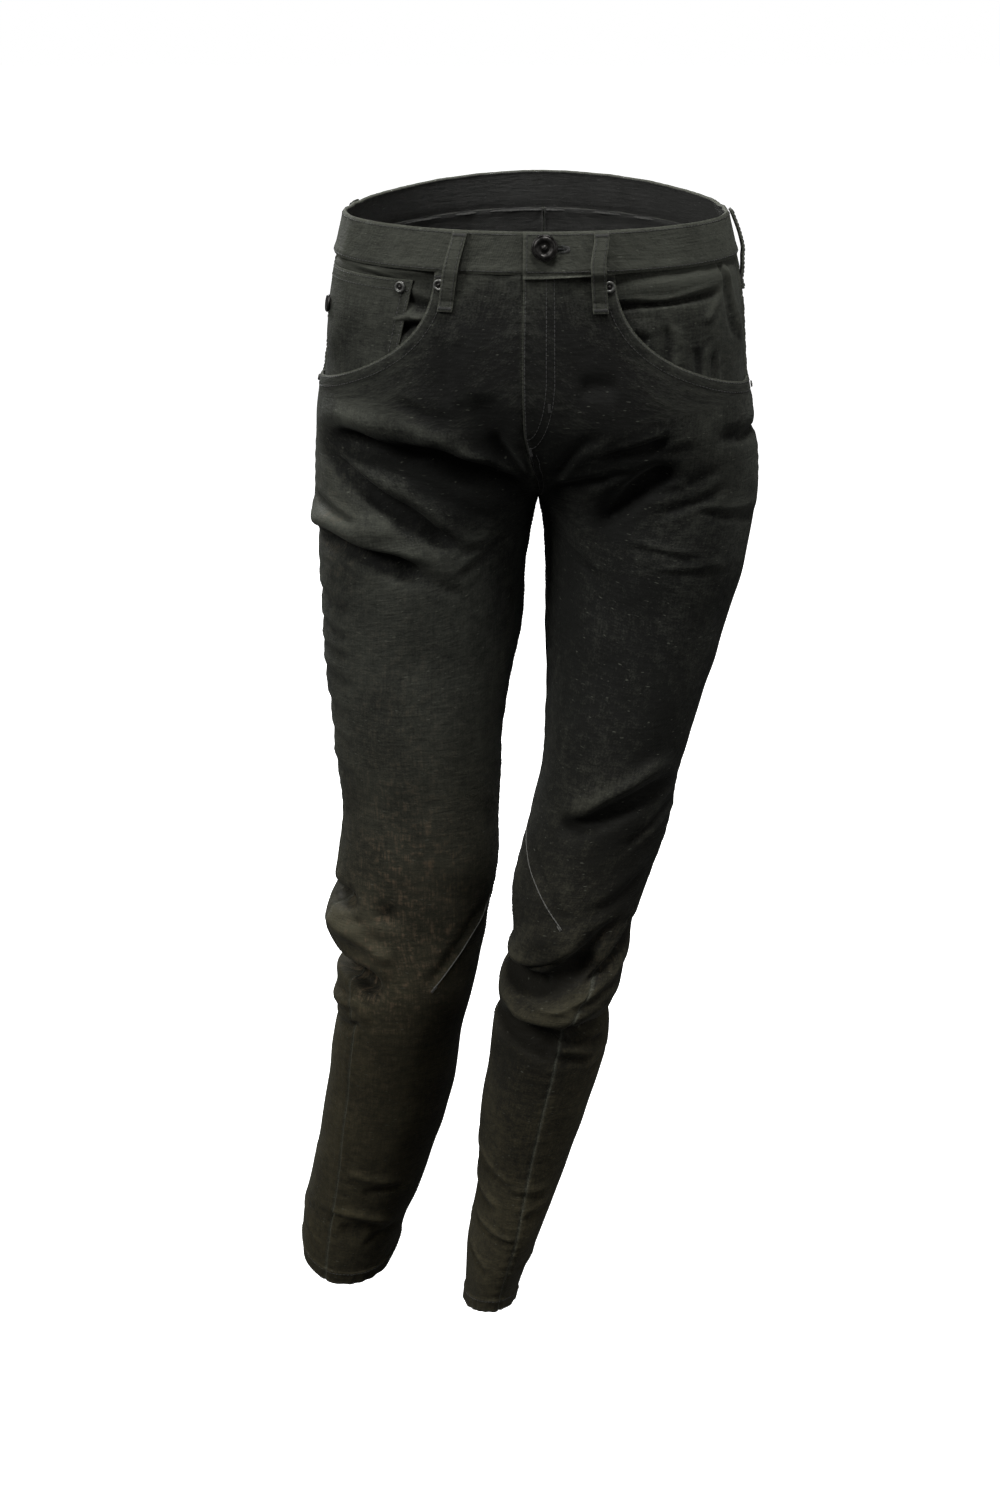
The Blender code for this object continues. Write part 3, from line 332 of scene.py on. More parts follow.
    Crease(LEFT, 1, 0.060, -0.620, 0.000, -0.628, 0.003, 0.0036, -0.0012, 0.5),
    Crease(LEFT, 1, 0.050, -0.700, -0.020, -0.684, -0.003, 0.0050, -0.0012, 0.4),
    Crease(LEFT, 1, 0.010, -0.800, -0.040, -0.808, 0.001, 0.0030, 0.0011, -0.6),
    Crease(LEFT, 1, 0.000, -0.845, -0.045, -0.836, 0.001, 0.0030, 0.0010, -0.6),
]

# Creases of the pieces inside the front pocket scoops
FACING_CREASES = [
    Crease(LEFT, -1, 0.026, -0.0625, 0.146, -0.0540, 0.000, 0.0026, -0.0050, 0.2),
    Crease(LEFT, -1, 0.040, -0.0480, 0.160, -0.0420, 0.001, 0.0070, 0.0022, 0.0),
    Crease(LEFT, -1, 0.135, -0.0250, 0.153, -0.0950, 0.000, 0.0021, -0.0026, 0.7),
    Crease(LEFT, -1, 0.096, -0.0720, 0.098, -0.1100, 0.001, 0.0034, -0.0026, 0.6),
    Crease(LEFT, -1, 0.120, -0.0900, 0.124, -0.1260, 0.000, 0.0030, -0.0024, 0.7),
    Crease(LEFT, -1, 0.134, -0.0960, 0.136, -0.1260, 0.000, 0.0026, -0.0020, 0.7),
    Crease(LEFT, -1, 0.070, -0.0780, 0.084, -0.0860, 0.000, 0.0036, -0.0022, 0.4),
    Crease(LEFT, -1, 0.140, -0.0500, 0.126, -0.0760, 0.000, 0.0034, 0.0018, 0.0),
    Crease(RIGHT, -1, -0.175, -0.0350, -0.070, -0.0370, 0.000, 0.0034, 0.0040, 0.0),
    Crease(RIGHT, -1, -0.165, -0.0330, -0.090, -0.0470, 0.001, 0.0020, -0.0024, 0.5),
    Crease(RIGHT, -1, -0.112, -0.0830, -0.066, -0.0700, 0.002, 0.0036, -0.0050, 0.6),
    Crease(RIGHT, -1, -0.100, -0.0640, -0.068, -0.0840, 0.001, 0.0030, 0.0028, 0.0),
    Crease(RIGHT, -1, -0.104, -0.1000, -0.078, -0.0920, 0.000, 0.0034, -0.0034, 0.5),
    Crease(RIGHT, -1, -0.100, -0.0540, -0.064, -0.0660, 0.000, 0.0042, -0.0030, 0.5),
]
COIN_CREASES = [
    Crease(RIGHT, -1, -0.150, -0.0860, -0.110, -0.0960, 0.003, 0.0100, -0.0012, 0.0),
    Crease(RIGHT, -1, -0.110, -0.0500, -0.114, -0.1000, 0.002, 0.0050, 0.0008, 0.0),
]

# Where the dye has worn off: amount 1 is the brown of the right knee
WORN = [
    Spot(RIGHT, -0.092, -0.540, 0.050, 0.075, 1.0),
    Spot(RIGHT, -0.110, -0.620, 0.045, 0.060, 0.8),
    Spot(RIGHT, -0.110, -0.400, 0.060, 0.140, 0.45),
    Spot(LEFT, 0.060, -0.560, 0.030, 0.030, 0.5),
    Spot(LEFT, 0.050, -0.690, 0.030, 0.060, 0.5),
    Spot(LEFT, 0.010, -0.800, 0.040, 0.060, 0.4),
    Spot(RIGHT, -0.145, -0.760, 0.050, 0.160, 0.5),
    Spot(RIGHT, -0.160, -0.240, 0.025, 0.060, 0.5),
]

# Painted shade: darker spots at the centre front, the crotch, the left thigh and the inner sides
# of the legs down to the knees
SHADE_SPOTS = [
    Spot(LEFT, 0.020, -0.100, 0.050, 0.065, 1.0),
    Spot(RIGHT, -0.020, -0.100, 0.052, 0.065, 1.0),
    Spot(LEFT, 0.005, -0.195, 0.060, 0.045, 1.3),
    Spot(RIGHT, -0.005, -0.195, 0.080, 0.036, 1.3),
    Spot(LEFT, 0.010, -0.150, 0.080, 0.050, 0.60),
    Spot(RIGHT, -0.010, -0.150, 0.070, 0.055, 0.60),
    Spot(LEFT, 0.030, -0.330, 0.055, 0.150, 1.0),
    Spot(LEFT, 0.090, -0.360, 0.080, 0.160, 1.0),
    Spot(LEFT, 0.070, -0.430, 0.080, 0.120, 1.0),
    Spot(LEFT, 0.030, -0.060, 0.040, 0.050, 0.5),
    Spot(RIGHT, -0.030, -0.060, 0.040, 0.050, 0.5),
    Spot(LEFT, 0.000, -0.650, 0.040, 0.045, 0.8),
    Spot(LEFT, -0.010, -0.740, 0.040, 0.060, 0.4),
    Spot(LEFT, 0.000, -0.500, 0.050, 0.060, 0.5),
    Spot(RIGHT, -0.065, -0.115, 0.060, 0.055, 0.40),
    Spot(RIGHT, -0.020, -0.270, 0.025, 0.060, 0.60),
    Spot(LEFT, 0.000, -0.530, 0.035, 0.050, 0.50),
    Spot(LEFT, -0.030, -0.650, 0.020, 0.060, 0.40),
    Spot(RIGHT, -0.040, -0.700, 0.030, 0.120, 0.30),
]

DART_FILL = 1.5
DART_WIDTH = 1.9
Dart = namedtuple("Dart", "side path")
# Stitched darts at the knees, as places (x, z) seen from the front
DARTS = [
    Dart(RIGHT, ((-0.033, -0.553), (-0.051, -0.585), (-0.084, -0.629))),
    Dart(LEFT, ((-0.008, -0.484), (0.002, -0.512), (0.023, -0.540))),
]

BeltLoop = namedtuple("BeltLoop", "name side turn lean sway")
BELT_LOOPS = [
    BeltLoop("belt_loop_front_left", LEFT, 0.213, 0.02, 0.022),
    BeltLoop("belt_loop_front_right", RIGHT, 0.200, 0.06, -0.004),
    BeltLoop("belt_loop_side_left", LEFT, 1.075, 0.0, 0.0),
    BeltLoop("belt_loop_side_right", RIGHT, 1.20, 0.0, 0.0),
    BeltLoop("belt_loop_back", LEFT, 2.0, 0.0, 0.0),
]
LOOP_WIDTH = 0.011
LOOP_THICKNESS = 0.0018
LOOP_TOP = 0.001
LOOP_FOOT = 0.060
LOOP_STANDOFF = 0.0038
LOOP_END = 0.006

BACK_POCKET_WIDTH = 0.130
BACK_POCKET_HEIGHT = 0.126
BACK_POCKET_CORNER = 0.024
BACK_POCKET_REACH = 0.122
BACK_POCKET_TOP = 0.088
FACING_DEPTH = {LEFT: 0.0026, RIGHT: 0.0049}
FACING_FILL = {LEFT: 0.0016, RIGHT: 0.0024}
COIN_POCKET_DEPTH = 0.0030
COIN_TURN = 0.343
COIN_FAR_TURN = 0.955
COIN_TOP = 0.0385
COIN_FOOT = 0.133
COIN_SLANT = 0.065
FLY_WIDTH = 0.088
FLY_FOOT = 0.152
FLY_CURVE_START = 0.108
FLY_INSIDE_GAP = 0.0013
FLY_PROUD = 0.0012
BAND_LAP = 0.20
BUTTON_TURN = 0.065
BUTTON_LEVEL = 0.0115
HOLE_BACK = 0.0070
HOLE_LENGTH = 0.0175
HOLE_LEVEL = BUTTON_LEVEL + 0.001
HOLE_STITCHES = 64
STUD_TURN = 0.800
STUD_LEVEL = 0.068

Rivet = namedtuple("Rivet", "name side turn level radius on_coin_pocket")
RIVETS = [
    Rivet("rivet_pocket_left", LEFT, 0.250, 0.0405, 0.0044, False),
    Rivet("rivet_pocket_right", RIGHT, 0.252, 0.0405, 0.0044, False),
    Rivet("rivet_coin", RIGHT, 0.385, 0.0445, 0.0044, True),
    Rivet("rivet_side_left", LEFT, 0.965, 0.1300, 0.0026, False),
    Rivet("rivet_side_right", RIGHT, 0.965, 0.1300, 0.0026, False),
]


# The garment surface


def ease(x):
    """0 to 1 with no slope at either end."""
    x = np.clip(x, 0.0, 1.0)
    return x * x * (3 - 2 * x)


def hill(x, width):
    """1 at nought, falling away to 0 on both sides."""
    return np.exp(-((x / width) ** 2))


def ridge(relief, distance):
    """Height of a ridge or groove at a distance from an edge."""
    return relief.height * hill(distance - relief.place, relief.width)


def column(rows, name, z):
    """A smooth curve through one column of a table, read at heights z."""
    ordered = sorted(rows, key=lambda row: row.z)
    heights = np.array([row.z for row in ordered])
    values = np.array([getattr(row, name) for row in ordered], float)
    slopes = np.gradient(values, heights)
    z = np.clip(z, heights[0], heights[-1])
    low = np.clip(np.searchsorted(heights, z) - 1, 0, len(heights) - 2)
    span = heights[low + 1] - heights[low]
    s = (z - heights[low]) / span
    rise = values[low] * (2 * s**3 - 3 * s**2 + 1) + values[low + 1] * (3 * s**2 - 2 * s**3)
    lean = slopes[low] * (s**3 - 2 * s**2 + s) + slopes[low + 1] * (s**3 - s**2)
    return rise + lean * span


def rounding(angle, squareness):
    total = np.abs(np.sin(angle)) ** squareness + np.abs(np.cos(angle)) ** squareness
    return total ** (-1 / squareness)


def row_heights(turn, drop):
    """Height of each point, and how far its section has changed from hips to leg."""
    inward = 1 - np.abs(turn - 1)
    curve = np.clip((drop - RISE_START) / (CROTCH_ROW - RISE_START), 0, 1)
    sweep = math.pi / 2 * np.sin(math.pi / 2 * curve)
    rise = RISE_START + (CROTCH_DEPTH - RISE_START) * np.sin(sweep)
    settled = ease((drop - CROTCH_ROW) / (FLAT_ROW - CROTCH_ROW))
    inseam = drop - (CROTCH_ROW - CROTCH_DEPTH) * (1 - settled)
    inner = np.where(drop < RISE_START, drop, np.where(drop < CROTCH_ROW, rise, inseam))
    spread = 1 - (1 - inward) ** 2.5
    tilt = np.where(turn < 1, -FRONT_DIP, BACK_RISE) * np.cos(math.pi / 2 * turn) ** 2
    lift = tilt * (1 - ease(drop / WAIST_TILT_FADE))
    return -(inner + (drop - inner) * spread) + lift, 1 - np.cos(sweep)


def base_surface(side, turn, drop):
    """Points of the garment without its folds."""
    z, leg_share = row_heights(turn, drop)
    rows = LEG_ROWS[side]
    inner = column(rows, "inner", z)
    outer = column(rows, "outer", z)
    centre_y = column(rows, "centre_y", z)
    hip_angle = turn * math.pi / 2
    depth = np.where(turn < 1, column(HIP_ROWS, "front", z), column(HIP_ROWS, "back", z))
    hip_rounding = rounding(hip_angle, HIP_SQUARENESS)
    hip_x = inner + (outer - inner) * hip_rounding * np.sin(hip_angle)
    hip_y = -depth * hip_rounding * np.cos(hip_angle)
    inseam = np.radians(column(rows, "inseam", z))
    outseam = np.radians(column(rows, "outseam", z))
    front_angle = inseam + (outseam - inseam) * turn
    back_angle = outseam + (2 * math.pi + inseam - outseam) * (turn - 1)
    leg_angle = np.where(turn < 1, front_angle, back_angle)
    half_width = (outer - inner) / 2
    mean_radius = column(rows, "girth", z) / (2 * math.pi)
    half_depth = np.sqrt(2 * mean_radius**2 - half_width**2)
    leg_rounding = rounding(leg_angle, LEG_SQUARENESS)
    leg_x = (outer + inner) / 2 - half_width * leg_rounding * np.cos(leg_angle)
    leg_y = centre_y - half_depth * leg_rounding * np.sin(leg_angle)
    x = side * (hip_x + (leg_x - hip_x) * leg_share)
    y = hip_y + (leg_y - hip_y) * leg_share
    hem_share = ease((drop - HEM_TILT_START) / (HEM_LEVEL[side] - HEM_TILT_START))
    z = z + HEM_TILT[side] * (y - centre_y) * hem_share
    twist = PELVIS_TURN * ease((z - TWIST_END) / (TWIST_TOP - TWIST_END))
    turned_x = x * np.cos(twist) - y * np.sin(twist)
    turned_y = x * np.sin(twist) + y * np.cos(twist)
    return np.stack([turned_x, turned_y, z], axis=-1)


def outward(side, turn, drop, surface):
    """Unit normals of a surface, pointing out of the garment."""
    step = 0.0008
    along = surface(side, turn + step, drop) - surface(side, turn - step, drop)
    down = surface(side, turn, drop + step) - surface(side, turn, drop - step)
    normal = np.cross(down, along) * side
    return normal / np.linalg.norm(normal, axis=-1, keepdims=True)


def fold_height(table, side, points, normals):
    """How far a table of folds or creases moves each point out."""
    height = np.zeros(points.shape[:-1])
    for number, fold in enumerate(table):
        if fold.side != side:
            continue
        lip = getattr(fold, "lip", 0.0)
        chord = np.array([fold.x_end - fold.x_start, fold.z_end - fold.z_start])
        length = np.linalg.norm(chord)
        away = points[..., [0, 2]] - np.array([fold.x_start, fold.z_start])
        along = (away @ chord) / length**2
        across = (away[..., 0] * -chord[1] + away[..., 1] * chord[0]) / length
        inside = np.clip(along, 0, 1)
        across = across - fold.bow * 4 * inside * (1 - inside)
        width = fold.width
        if lip:
            wander = np.sin(length * CREASE_WANDER_RATE * inside + number)
            across = across + width * CREASE_WANDER * wander
            swell = np.sin(length * CREASE_SWELL_RATE * inside + CREASE_SWELL_SHIFT * number)
            width = width * (1 + CREASE_SWELL * swell)
        ends = ease(along / FOLD_ENDS) * ease((1 - along) / FOLD_ENDS)
        facing = ease(0.5 + FACING_SLOPE * fold.face * normals[..., 1])
        profile = hill(across, width)
        if lip:
            lip_place = math.copysign(LIP_PLACE, lip) * width
            profile = profile - abs(lip) * hill(across - lip_place, LIP_WIDTH * width)
        height += fold.depth * profile * ends * facing
    return height


def folded_surface(side, turn, drop):
    """Points of the garment with its largest folds."""
    points = base_surface(side, turn, drop)
    normals = outward(side, turn, drop, base_surface)
    return points + normals * fold_height(FOLDS, side, points, normals)[..., None]


def undulation(points):
    """The slight unevenness of worn cloth."""
    source = np.random.default_rng(UNEVEN_SEED)
    height = np.zeros(points.shape[:-1])
    for _ in range(UNEVEN_WAVES):
        direction = source.normal(size=3) * np.array([0.7, 0.7, 1.3])
        direction = direction / np.linalg.norm(direction)
        wave_length = source.uniform(*UNEVEN_LENGTHS)
        phase = source.uniform(0, 2 * math.pi)
        wave = np.sin(2 * math.pi * (points @ direction) / wave_length + phase)
        height += UNEVEN_HEIGHT * wave_length / UNEVEN_LENGTHS[1] * wave
    return height


def fine_point(side, turn, drop, height=0.0, tables=()):
    """A point at some height over the cloth with its creases, and the direction that faces out
    there.
    """
    turn = np.asarray(turn, float)
    drop = np.asarray(drop, float)
    normals = outward(side, turn, drop, folded_surface)
    points = folded_surface(side, turn, drop)
    relief = undulation(points) * ease((drop - 0.03) / 0.05)
    relief = relief + CREASE_STRENGTH * fold_height(CREASES, side, points, normals)
    relief = relief + FOLD_DEEPENING * np.minimum(fold_height(FOLDS, side, points, normals), 0)
    for table in tables:
        relief = relief + fold_height(table, side, points, normals)
    return points + normals * (relief + height)[..., None], normals


def speed_along(side, turn, drop):
    """Metres of cloth for one turn along a level."""
    step = 0.001
    ahead = base_surface(side, turn + step, drop)
    behind = base_surface(side, turn - step, drop)
    return np.linalg.norm(ahead - behind, axis=-1) / (2 * step)


def speed_at(side, turn, level):
    """The same at a single place."""
    return float(speed_along(side, np.array([turn]), np.array([level]))[0])


def seam_relief(distance, along, phase, sizes):
    """Height of the cloth beside a seam: it rolls in, swells over the turnings and puckers."""
    ripple = along / sizes.pucker_length + 0.4 * np.sin(along / 0.019 + phase)
    near = hill(distance, PUCKER_REACH) * (1 - 0.6 * hill(distance, 0.001))
    pucker = sizes.pucker_depth * np.sin(2 * math.pi * ripple) * near
    return ridge(SEAM_ROLL, distance) + ridge(SEAM_SWELL, distance) + pucker


def scoop_turn(level):
    """Turn of the pocket's curved edge at a level of the front."""
    share = np.clip((level - WAISTBAND_HEIGHT) / (SCOOP_LEVEL - WAISTBAND_HEIGHT), 0, 1)
    return 1 - (1 - SCOOP_TURN) * (1 - share**SCOOP_ROUNDNESS) ** (1 / SCOOP_ROUNDNESS)


def scoop_point(share):
    """Turn and level along the scoop, from the waist seam at 0 to the outseam at 1."""
    angle = math.pi / 2 * share
    turn = 1 - (1 - SCOOP_TURN) * np.abs(np.cos(angle)) ** (2 / SCOOP_ROUNDNESS)
    start = WAISTBAND_HEIGHT - BAND_TUCK
    return turn, start + (SCOOP_LEVEL - start) * np.abs(np.sin(angle)) ** (2 / SCOOP_ROUNDNESS)


def scoop_distance(side, turn, level):
    """Rough distance of a point of the front from the scoop's edge."""
    depth = SCOOP_LEVEL - WAISTBAND_HEIGHT
    sideways = np.maximum(scoop_turn(level) - turn, 0) * speed_along(side, turn, level)
    bare = np.clip((1 - turn) / (1 - SCOOP_TURN), 0, 1)
    drop = depth * (1 - bare**SCOOP_ROUNDNESS) ** (1 / SCOOP_ROUNDNESS)
    downwards = np.maximum(level - WAISTBAND_HEIGHT - drop, 0)
    sideways = np.where(level >= SCOOP_LEVEL, 1.0, sideways) + 1e-6
    downwards = np.where(turn <= SCOOP_TURN, 1.0, downwards) + 1e-6
    return 1 / np.sqrt(1 / sideways**2 + 1 / downwards**2)


def hem_height(side, drop):
    """The turned-up hem stands proud of the leg."""
    start = HEM_LEVEL[side] - HEM_DEPTH
    return HEM_PROUD * ease((drop - start) / HEM_STEP)


def hem_ripple(side, turn, level):
    """Small waves along the edge of the hem."""
    wave = np.sin(turn * 47 + 3 * np.sin(turn * 9))
    return HEM_RIPPLE * wave * hill(HEM_LEVEL[side] - level, 0.012)


def fly_height(side, turn, level):
    """The left front laps over the right one at the fly."""
    across = 1 - ease((turn - FLY_WIDTH) / 0.05)
    down = 1 - ease((level - FLY_FOOT + 0.012) / 0.02)
    return np.where(side == LEFT, FLY_PROUD, 0.0) * across * down


def yoke_level(turn):
    share = np.clip(turn - 1, 0, 1)
    return WAISTBAND_HEIGHT + YOKE_SIDE + (YOKE_BACK - YOKE_SIDE) * share


def band_height(ring):
    """How far the waistband stands proud. Its lapped end is raised over the end below it."""
    over = 1 - ease((ring - BAND_LAP - 0.03) / 0.22)
    return WAISTBAND_PROUD + (WAISTBAND_THICKNESS + LAYER_GAP) * over


def scoop_fill(side, turn, level):
    """How far the pocket layers fill out inside the scoop."""
    clear = ease((turn - scoop_turn(level) - 0.06) / 0.25)
    clear = clear * ease((SCOOP_LEVEL - level - 0.008) / 0.03)
    top = ease((level - WAISTBAND_HEIGHT) / 0.008)
    return FACING_FILL[side] * clear * top * ease((1 - turn) / 0.2)


# One face function for each kind of piece: place on it in, point and normal out


def front_face(side, sizes):
    def face(turn, level, lift=0.0):
        speed = speed_along(side, turn, level)
        height = hem_height(side, level) + fly_height(side, turn, level) + lift
        height = height + seam_relief(turn * speed, level, INSEAM_PHASE + side, sizes)
        outer = seam_relief((1 - turn) * speed, level, OUTSEAM_PHASE, sizes)
        height = height + outer * ease((level - SCOOP_LEVEL) / 0.012)
        waist = seam_relief(level - WAISTBAND_HEIGHT, turn * speed, WAIST_PHASE, sizes)
        height = height + WAIST_SEAM_SHARE * waist
        edge = scoop_distance(side, turn, level)
        height = height + ridge(SCOOP_ROLL, edge)
        height = height + ridge(SCOOP_SWELL, edge)
        return fine_point(side, turn, level, height + hem_ripple(side, turn, level))

    return face


def back_face(side, sizes):
    def face(turn, level, lift=0.0):
        speed = speed_along(side, turn, level)
        height = hem_height(side, level) + lift
        height = height + seam_relief((2 - turn) * speed, level, INSEAM_PHASE + side, sizes)
        height = height + seam_relief((turn - 1) * speed, level, OUTSEAM_PHASE, sizes)
        yoke = seam_relief(level - yoke_level(turn), turn * speed, YOKE_PHASE, sizes)
        height = height + YOKE_SEAM_SHARE * yoke
        return fine_point(side, turn, level, height + hem_ripple(side, turn, level))

    return face


def yoke_face(side, sizes):
    def face(turn, level, lift=0.0):
        speed = speed_along(side, turn, level)
        height = seam_relief((2 - turn) * speed, level, INSEAM_PHASE + side, sizes)
        height = height + seam_relief((turn - 1) * speed, level, OUTSEAM_PHASE, sizes)
        foot = seam_relief(yoke_level(turn) - level, turn * speed, YOKE_PHASE, sizes)
        height = height + YOKE_SEAM_SHARE * foot
        waist = seam_relief(level - WAISTBAND_HEIGHT, turn * speed, WAIST_PHASE, sizes)
        height = height + WAIST_SEAM_SHARE * waist
        return fine_point(side, turn, level, height + lift)

    return face


def band_face(sizes):
    """The band goes round from its lapped left end: 0 to 2 on the left, 2 to 4 on the right."""

    def face(ring, level, lift=0.0):
        on_left = (ring <= 2) | (ring > 4)
        turn = np.where(ring <= 2, ring, np.abs(4 - ring))
        foot = WAISTBAND_HEIGHT - level
        ripple = 0.00045 * np.sin(ring * 29 + 2 * np.sin(ring * 11) + 60 * level)
        edges = -0.0007 * (hill(level, 0.0012) + hill(foot, 0.0009))
        swell = ridge(BAND_SWELL, foot)
        pucker = 0.00022 * np.sin(ring * 121 + 2 * np.sin(ring * 40))
        pucker = pucker * (hill(foot, 0.006) + hill(level, 0.005))
        height = band_height(ring) + ripple + edges + swell + pucker + lift
        left_points, left_normals = fine_point(LEFT, turn, level, height)
        right_points, right_normals = fine_point(RIGHT, turn, level, height)
        chosen = on_left[..., None]
        points = np.where(chosen, left_points, right_points)
        return points, np.where(chosen, left_normals, right_normals)

    return face


def facing_face(side):
    def face(turn, level, lift=0.0):
        height = scoop_fill(side, turn, level) - FACING_DEPTH[side]
        joined = 1 - ease((1 - turn) / 0.045)
        height = height + (-0.9 * DENIM - height) * joined
        return fine_point(side, turn, level, height + lift, (FACING_CREASES,))

    return face


def coin_face():
    def face(turn, level, lift=0.0):
        height = scoop_fill(RIGHT, turn, level) - COIN_POCKET_DEPTH + lift
        height = height + ridge(COIN_HEM_SWELL, level - COIN_TOP)
        return fine_point(RIGHT, turn, level, height, (COIN_CREASES,))

    return face


def pocket_widths(side):
    levels = np.linspace(BACK_POCKET_TOP, BACK_POCKET_TOP + BACK_POCKET_HEIGHT, 8)
    turns = np.linspace(1, 2, 25)
    rows = [base_surface(side, turns, np.full_like(turns, level)) for level in levels]
    return levels, [np.linalg.norm(np.diff(row, axis=0), axis=-1).sum() for row in rows]


def back_pocket_face(side):
    """The pocket is laid out by a place across and down it, both 0 to 1."""
    levels, widths = pocket_widths(side)

    def face(across, down, lift=0.0):
        sideways = 2 * across - 1
        reach = BACK_POCKET_REACH + sideways * (1 - 0.10 * down) * BACK_POCKET_WIDTH / 2
        tall = BACK_POCKET_HEIGHT - BACK_POCKET_CORNER * np.abs(sideways)
        level = BACK_POCKET_TOP + 0.05 * (reach - BACK_POCKET_REACH) + tall * down
        turn = 1 + reach / np.interp(level, levels, widths)
        rim = np.minimum(across, 1 - across) * BACK_POCKET_WIDTH
        rim = np.maximum(np.minimum(rim, (1 - down) * tall), 0)
        height = DENIM + LAYER_GAP + ridge(BACK_POCKET_ROLL, rim)
        height = height + 0.0010 * ease(rim / 0.035) + ridge(BACK_POCKET_SWELL, rim)
        height = height + 0.0006 * (1 - ease((down * tall - 0.018) / 0.003))
        pucker = 0.0002 * np.sin((across + down) * 90) * hill(rim, 0.007)
        return fine_point(side, turn, level, height + pucker + lift)

    return face


def fly_face():
    """The placket behind the fly, laid out by a place across and down it."""

    def face(across, down, lift=0.0):
        top = WAISTBAND_HEIGHT + 2 * SEAM_GAP
        level = top + (FLY_FOOT - top) * np.sin(math.pi / 2 * down) ** 0.9
        bend = np.clip((level - FLY_CURVE_START) / (FLY_FOOT - FLY_CURVE_START), 0, 1)
        turn = 0.004 + FLY_WIDTH * (0.12 + 0.88 * np.sqrt(1 - bend**2)) * across
        height = fly_height(LEFT, turn, level) - DENIM - FLY_INSIDE_GAP - 0.0004
        return fine_point(LEFT, turn, level, height + lift)

    return face


def loop_face(loop):
    """A belt loop, laid out by a place across and down it."""
    width = speed_at(loop.side, loop.turn, WAISTBAND_HEIGHT)
    proud = float(band_height(loop.turn)) if loop.side == LEFT else WAISTBAND_PROUD

    def face(across, down, lift=0.0):
        turn = loop.turn + (across - 0.5) * LOOP_WIDTH / width
        turn = turn + loop.lean * down * 0.5 + loop.sway * (1 - ease(down / 0.45))
        tall = LOOP_FOOT - LOOP_TOP
        level = LOOP_TOP + tall * down
        arch = np.sin(math.pi * np.clip(down / 0.86, 0, 1)) ** 0.7
        seat = proud * (1 - ease((down - 0.5) / 0.12)) + LAYER_GAP
        end = hill((1 - down) * tall, LOOP_END) + hill(down * tall, LOOP_END)
        rim = np.minimum(across, 1 - across) * LOOP_WIDTH
        height = seat + LOOP_STANDOFF * arch + LOOP_THICKNESS + 0.0005 * end
        return fine_point(loop.side, turn, level, height + ridge(LOOP_ROLL, rim) + lift)

    return face


# Building cloth


def bunched(x, amount=0.8):
    """Moves evenly spaced places towards both ends, where edges need finer cloth."""
    return x - amount * np.sin(2 * math.pi * x) / (2 * math.pi)


def spaced(zones, down):
    """Reads a level from 0 to 1 through zones of (level, rows above it)."""
    levels = np.array([level for level, _ in zones])
    counts = np.cumsum([count for _, count in zones])
    return np.interp(down, counts / counts[-1], levels)


def spotted(table, side, points):
    """How strongly the spots of a table reach each point, from 0 to 1."""
    share = np.zeros(points.shape[:-1])
    for spot in table:
        if spot.side == side:
            sideways = (points[..., 0] - spot.x) / spot.half_width
            upwards = (points[..., 2] - spot.z) / spot.half_height
            share += spot.amount * np.exp(-(sideways**2) - upwards**2)
    return np.clip(share, 0, 1)


def crease_shade_and_light(side, points, normals, tables):
    """Painted shade in the troughs of the creases, towards 1, and painted light on their ridges,
    down to -0.6.
    """
    height = sum(fold_height(table, side, points, normals) for table in tables)
    return np.clip(-height / CREASE_SHADE_DEPTH, -0.6, 1)


def mesh_data(mesh, name):
    """Turns a bmesh into mesh data."""
    data = bpy.data.meshes.new(name)
    mesh.to_mesh(data)
    mesh.free()
    return data


def add_object(name, data):
    added = bpy.data.objects.new(name, data)
    bpy.context.scene.collection.objects.link(added)
    return added


def map_cloth(data, points, level, order):
    """A UV map in metres: along each row from its middle, and down by level."""
    rows, columns = level.shape
    step = np.linalg.norm(np.diff(points, axis=1), axis=-1)
    sideways = np.concatenate([np.zeros((rows, 1)), np.cumsum(step, axis=1)], axis=1)
    sideways = sideways - sideways[:, [(columns - 1) // 2]]
    place = np.zeros((len(data.vertices), 2))
    place[order] = np.stack([sideways, -level], axis=-1).reshape(-1, 2)
    corner = np.zeros(len(data.loops), int)
    data.loops.foreach_get("vertex_index", corner)
    data.uv_layers.new(name="cloth").data.foreach_set("uv", place[corner].ravel())


def face_outwards(data, points, normals):
    """Turns the faces over if the middle one points into the garment."""
    middle = data.polygons[len(data.polygons) // 2]
    away = points.reshape(-1, 3) - np.array(middle.center)
    nearest = np.linalg.norm(away, axis=1).argmin()
    if np.array(middle.normal) @ normals.reshape(-1, 3)[nearest] < 0:
        data.flip_normals()


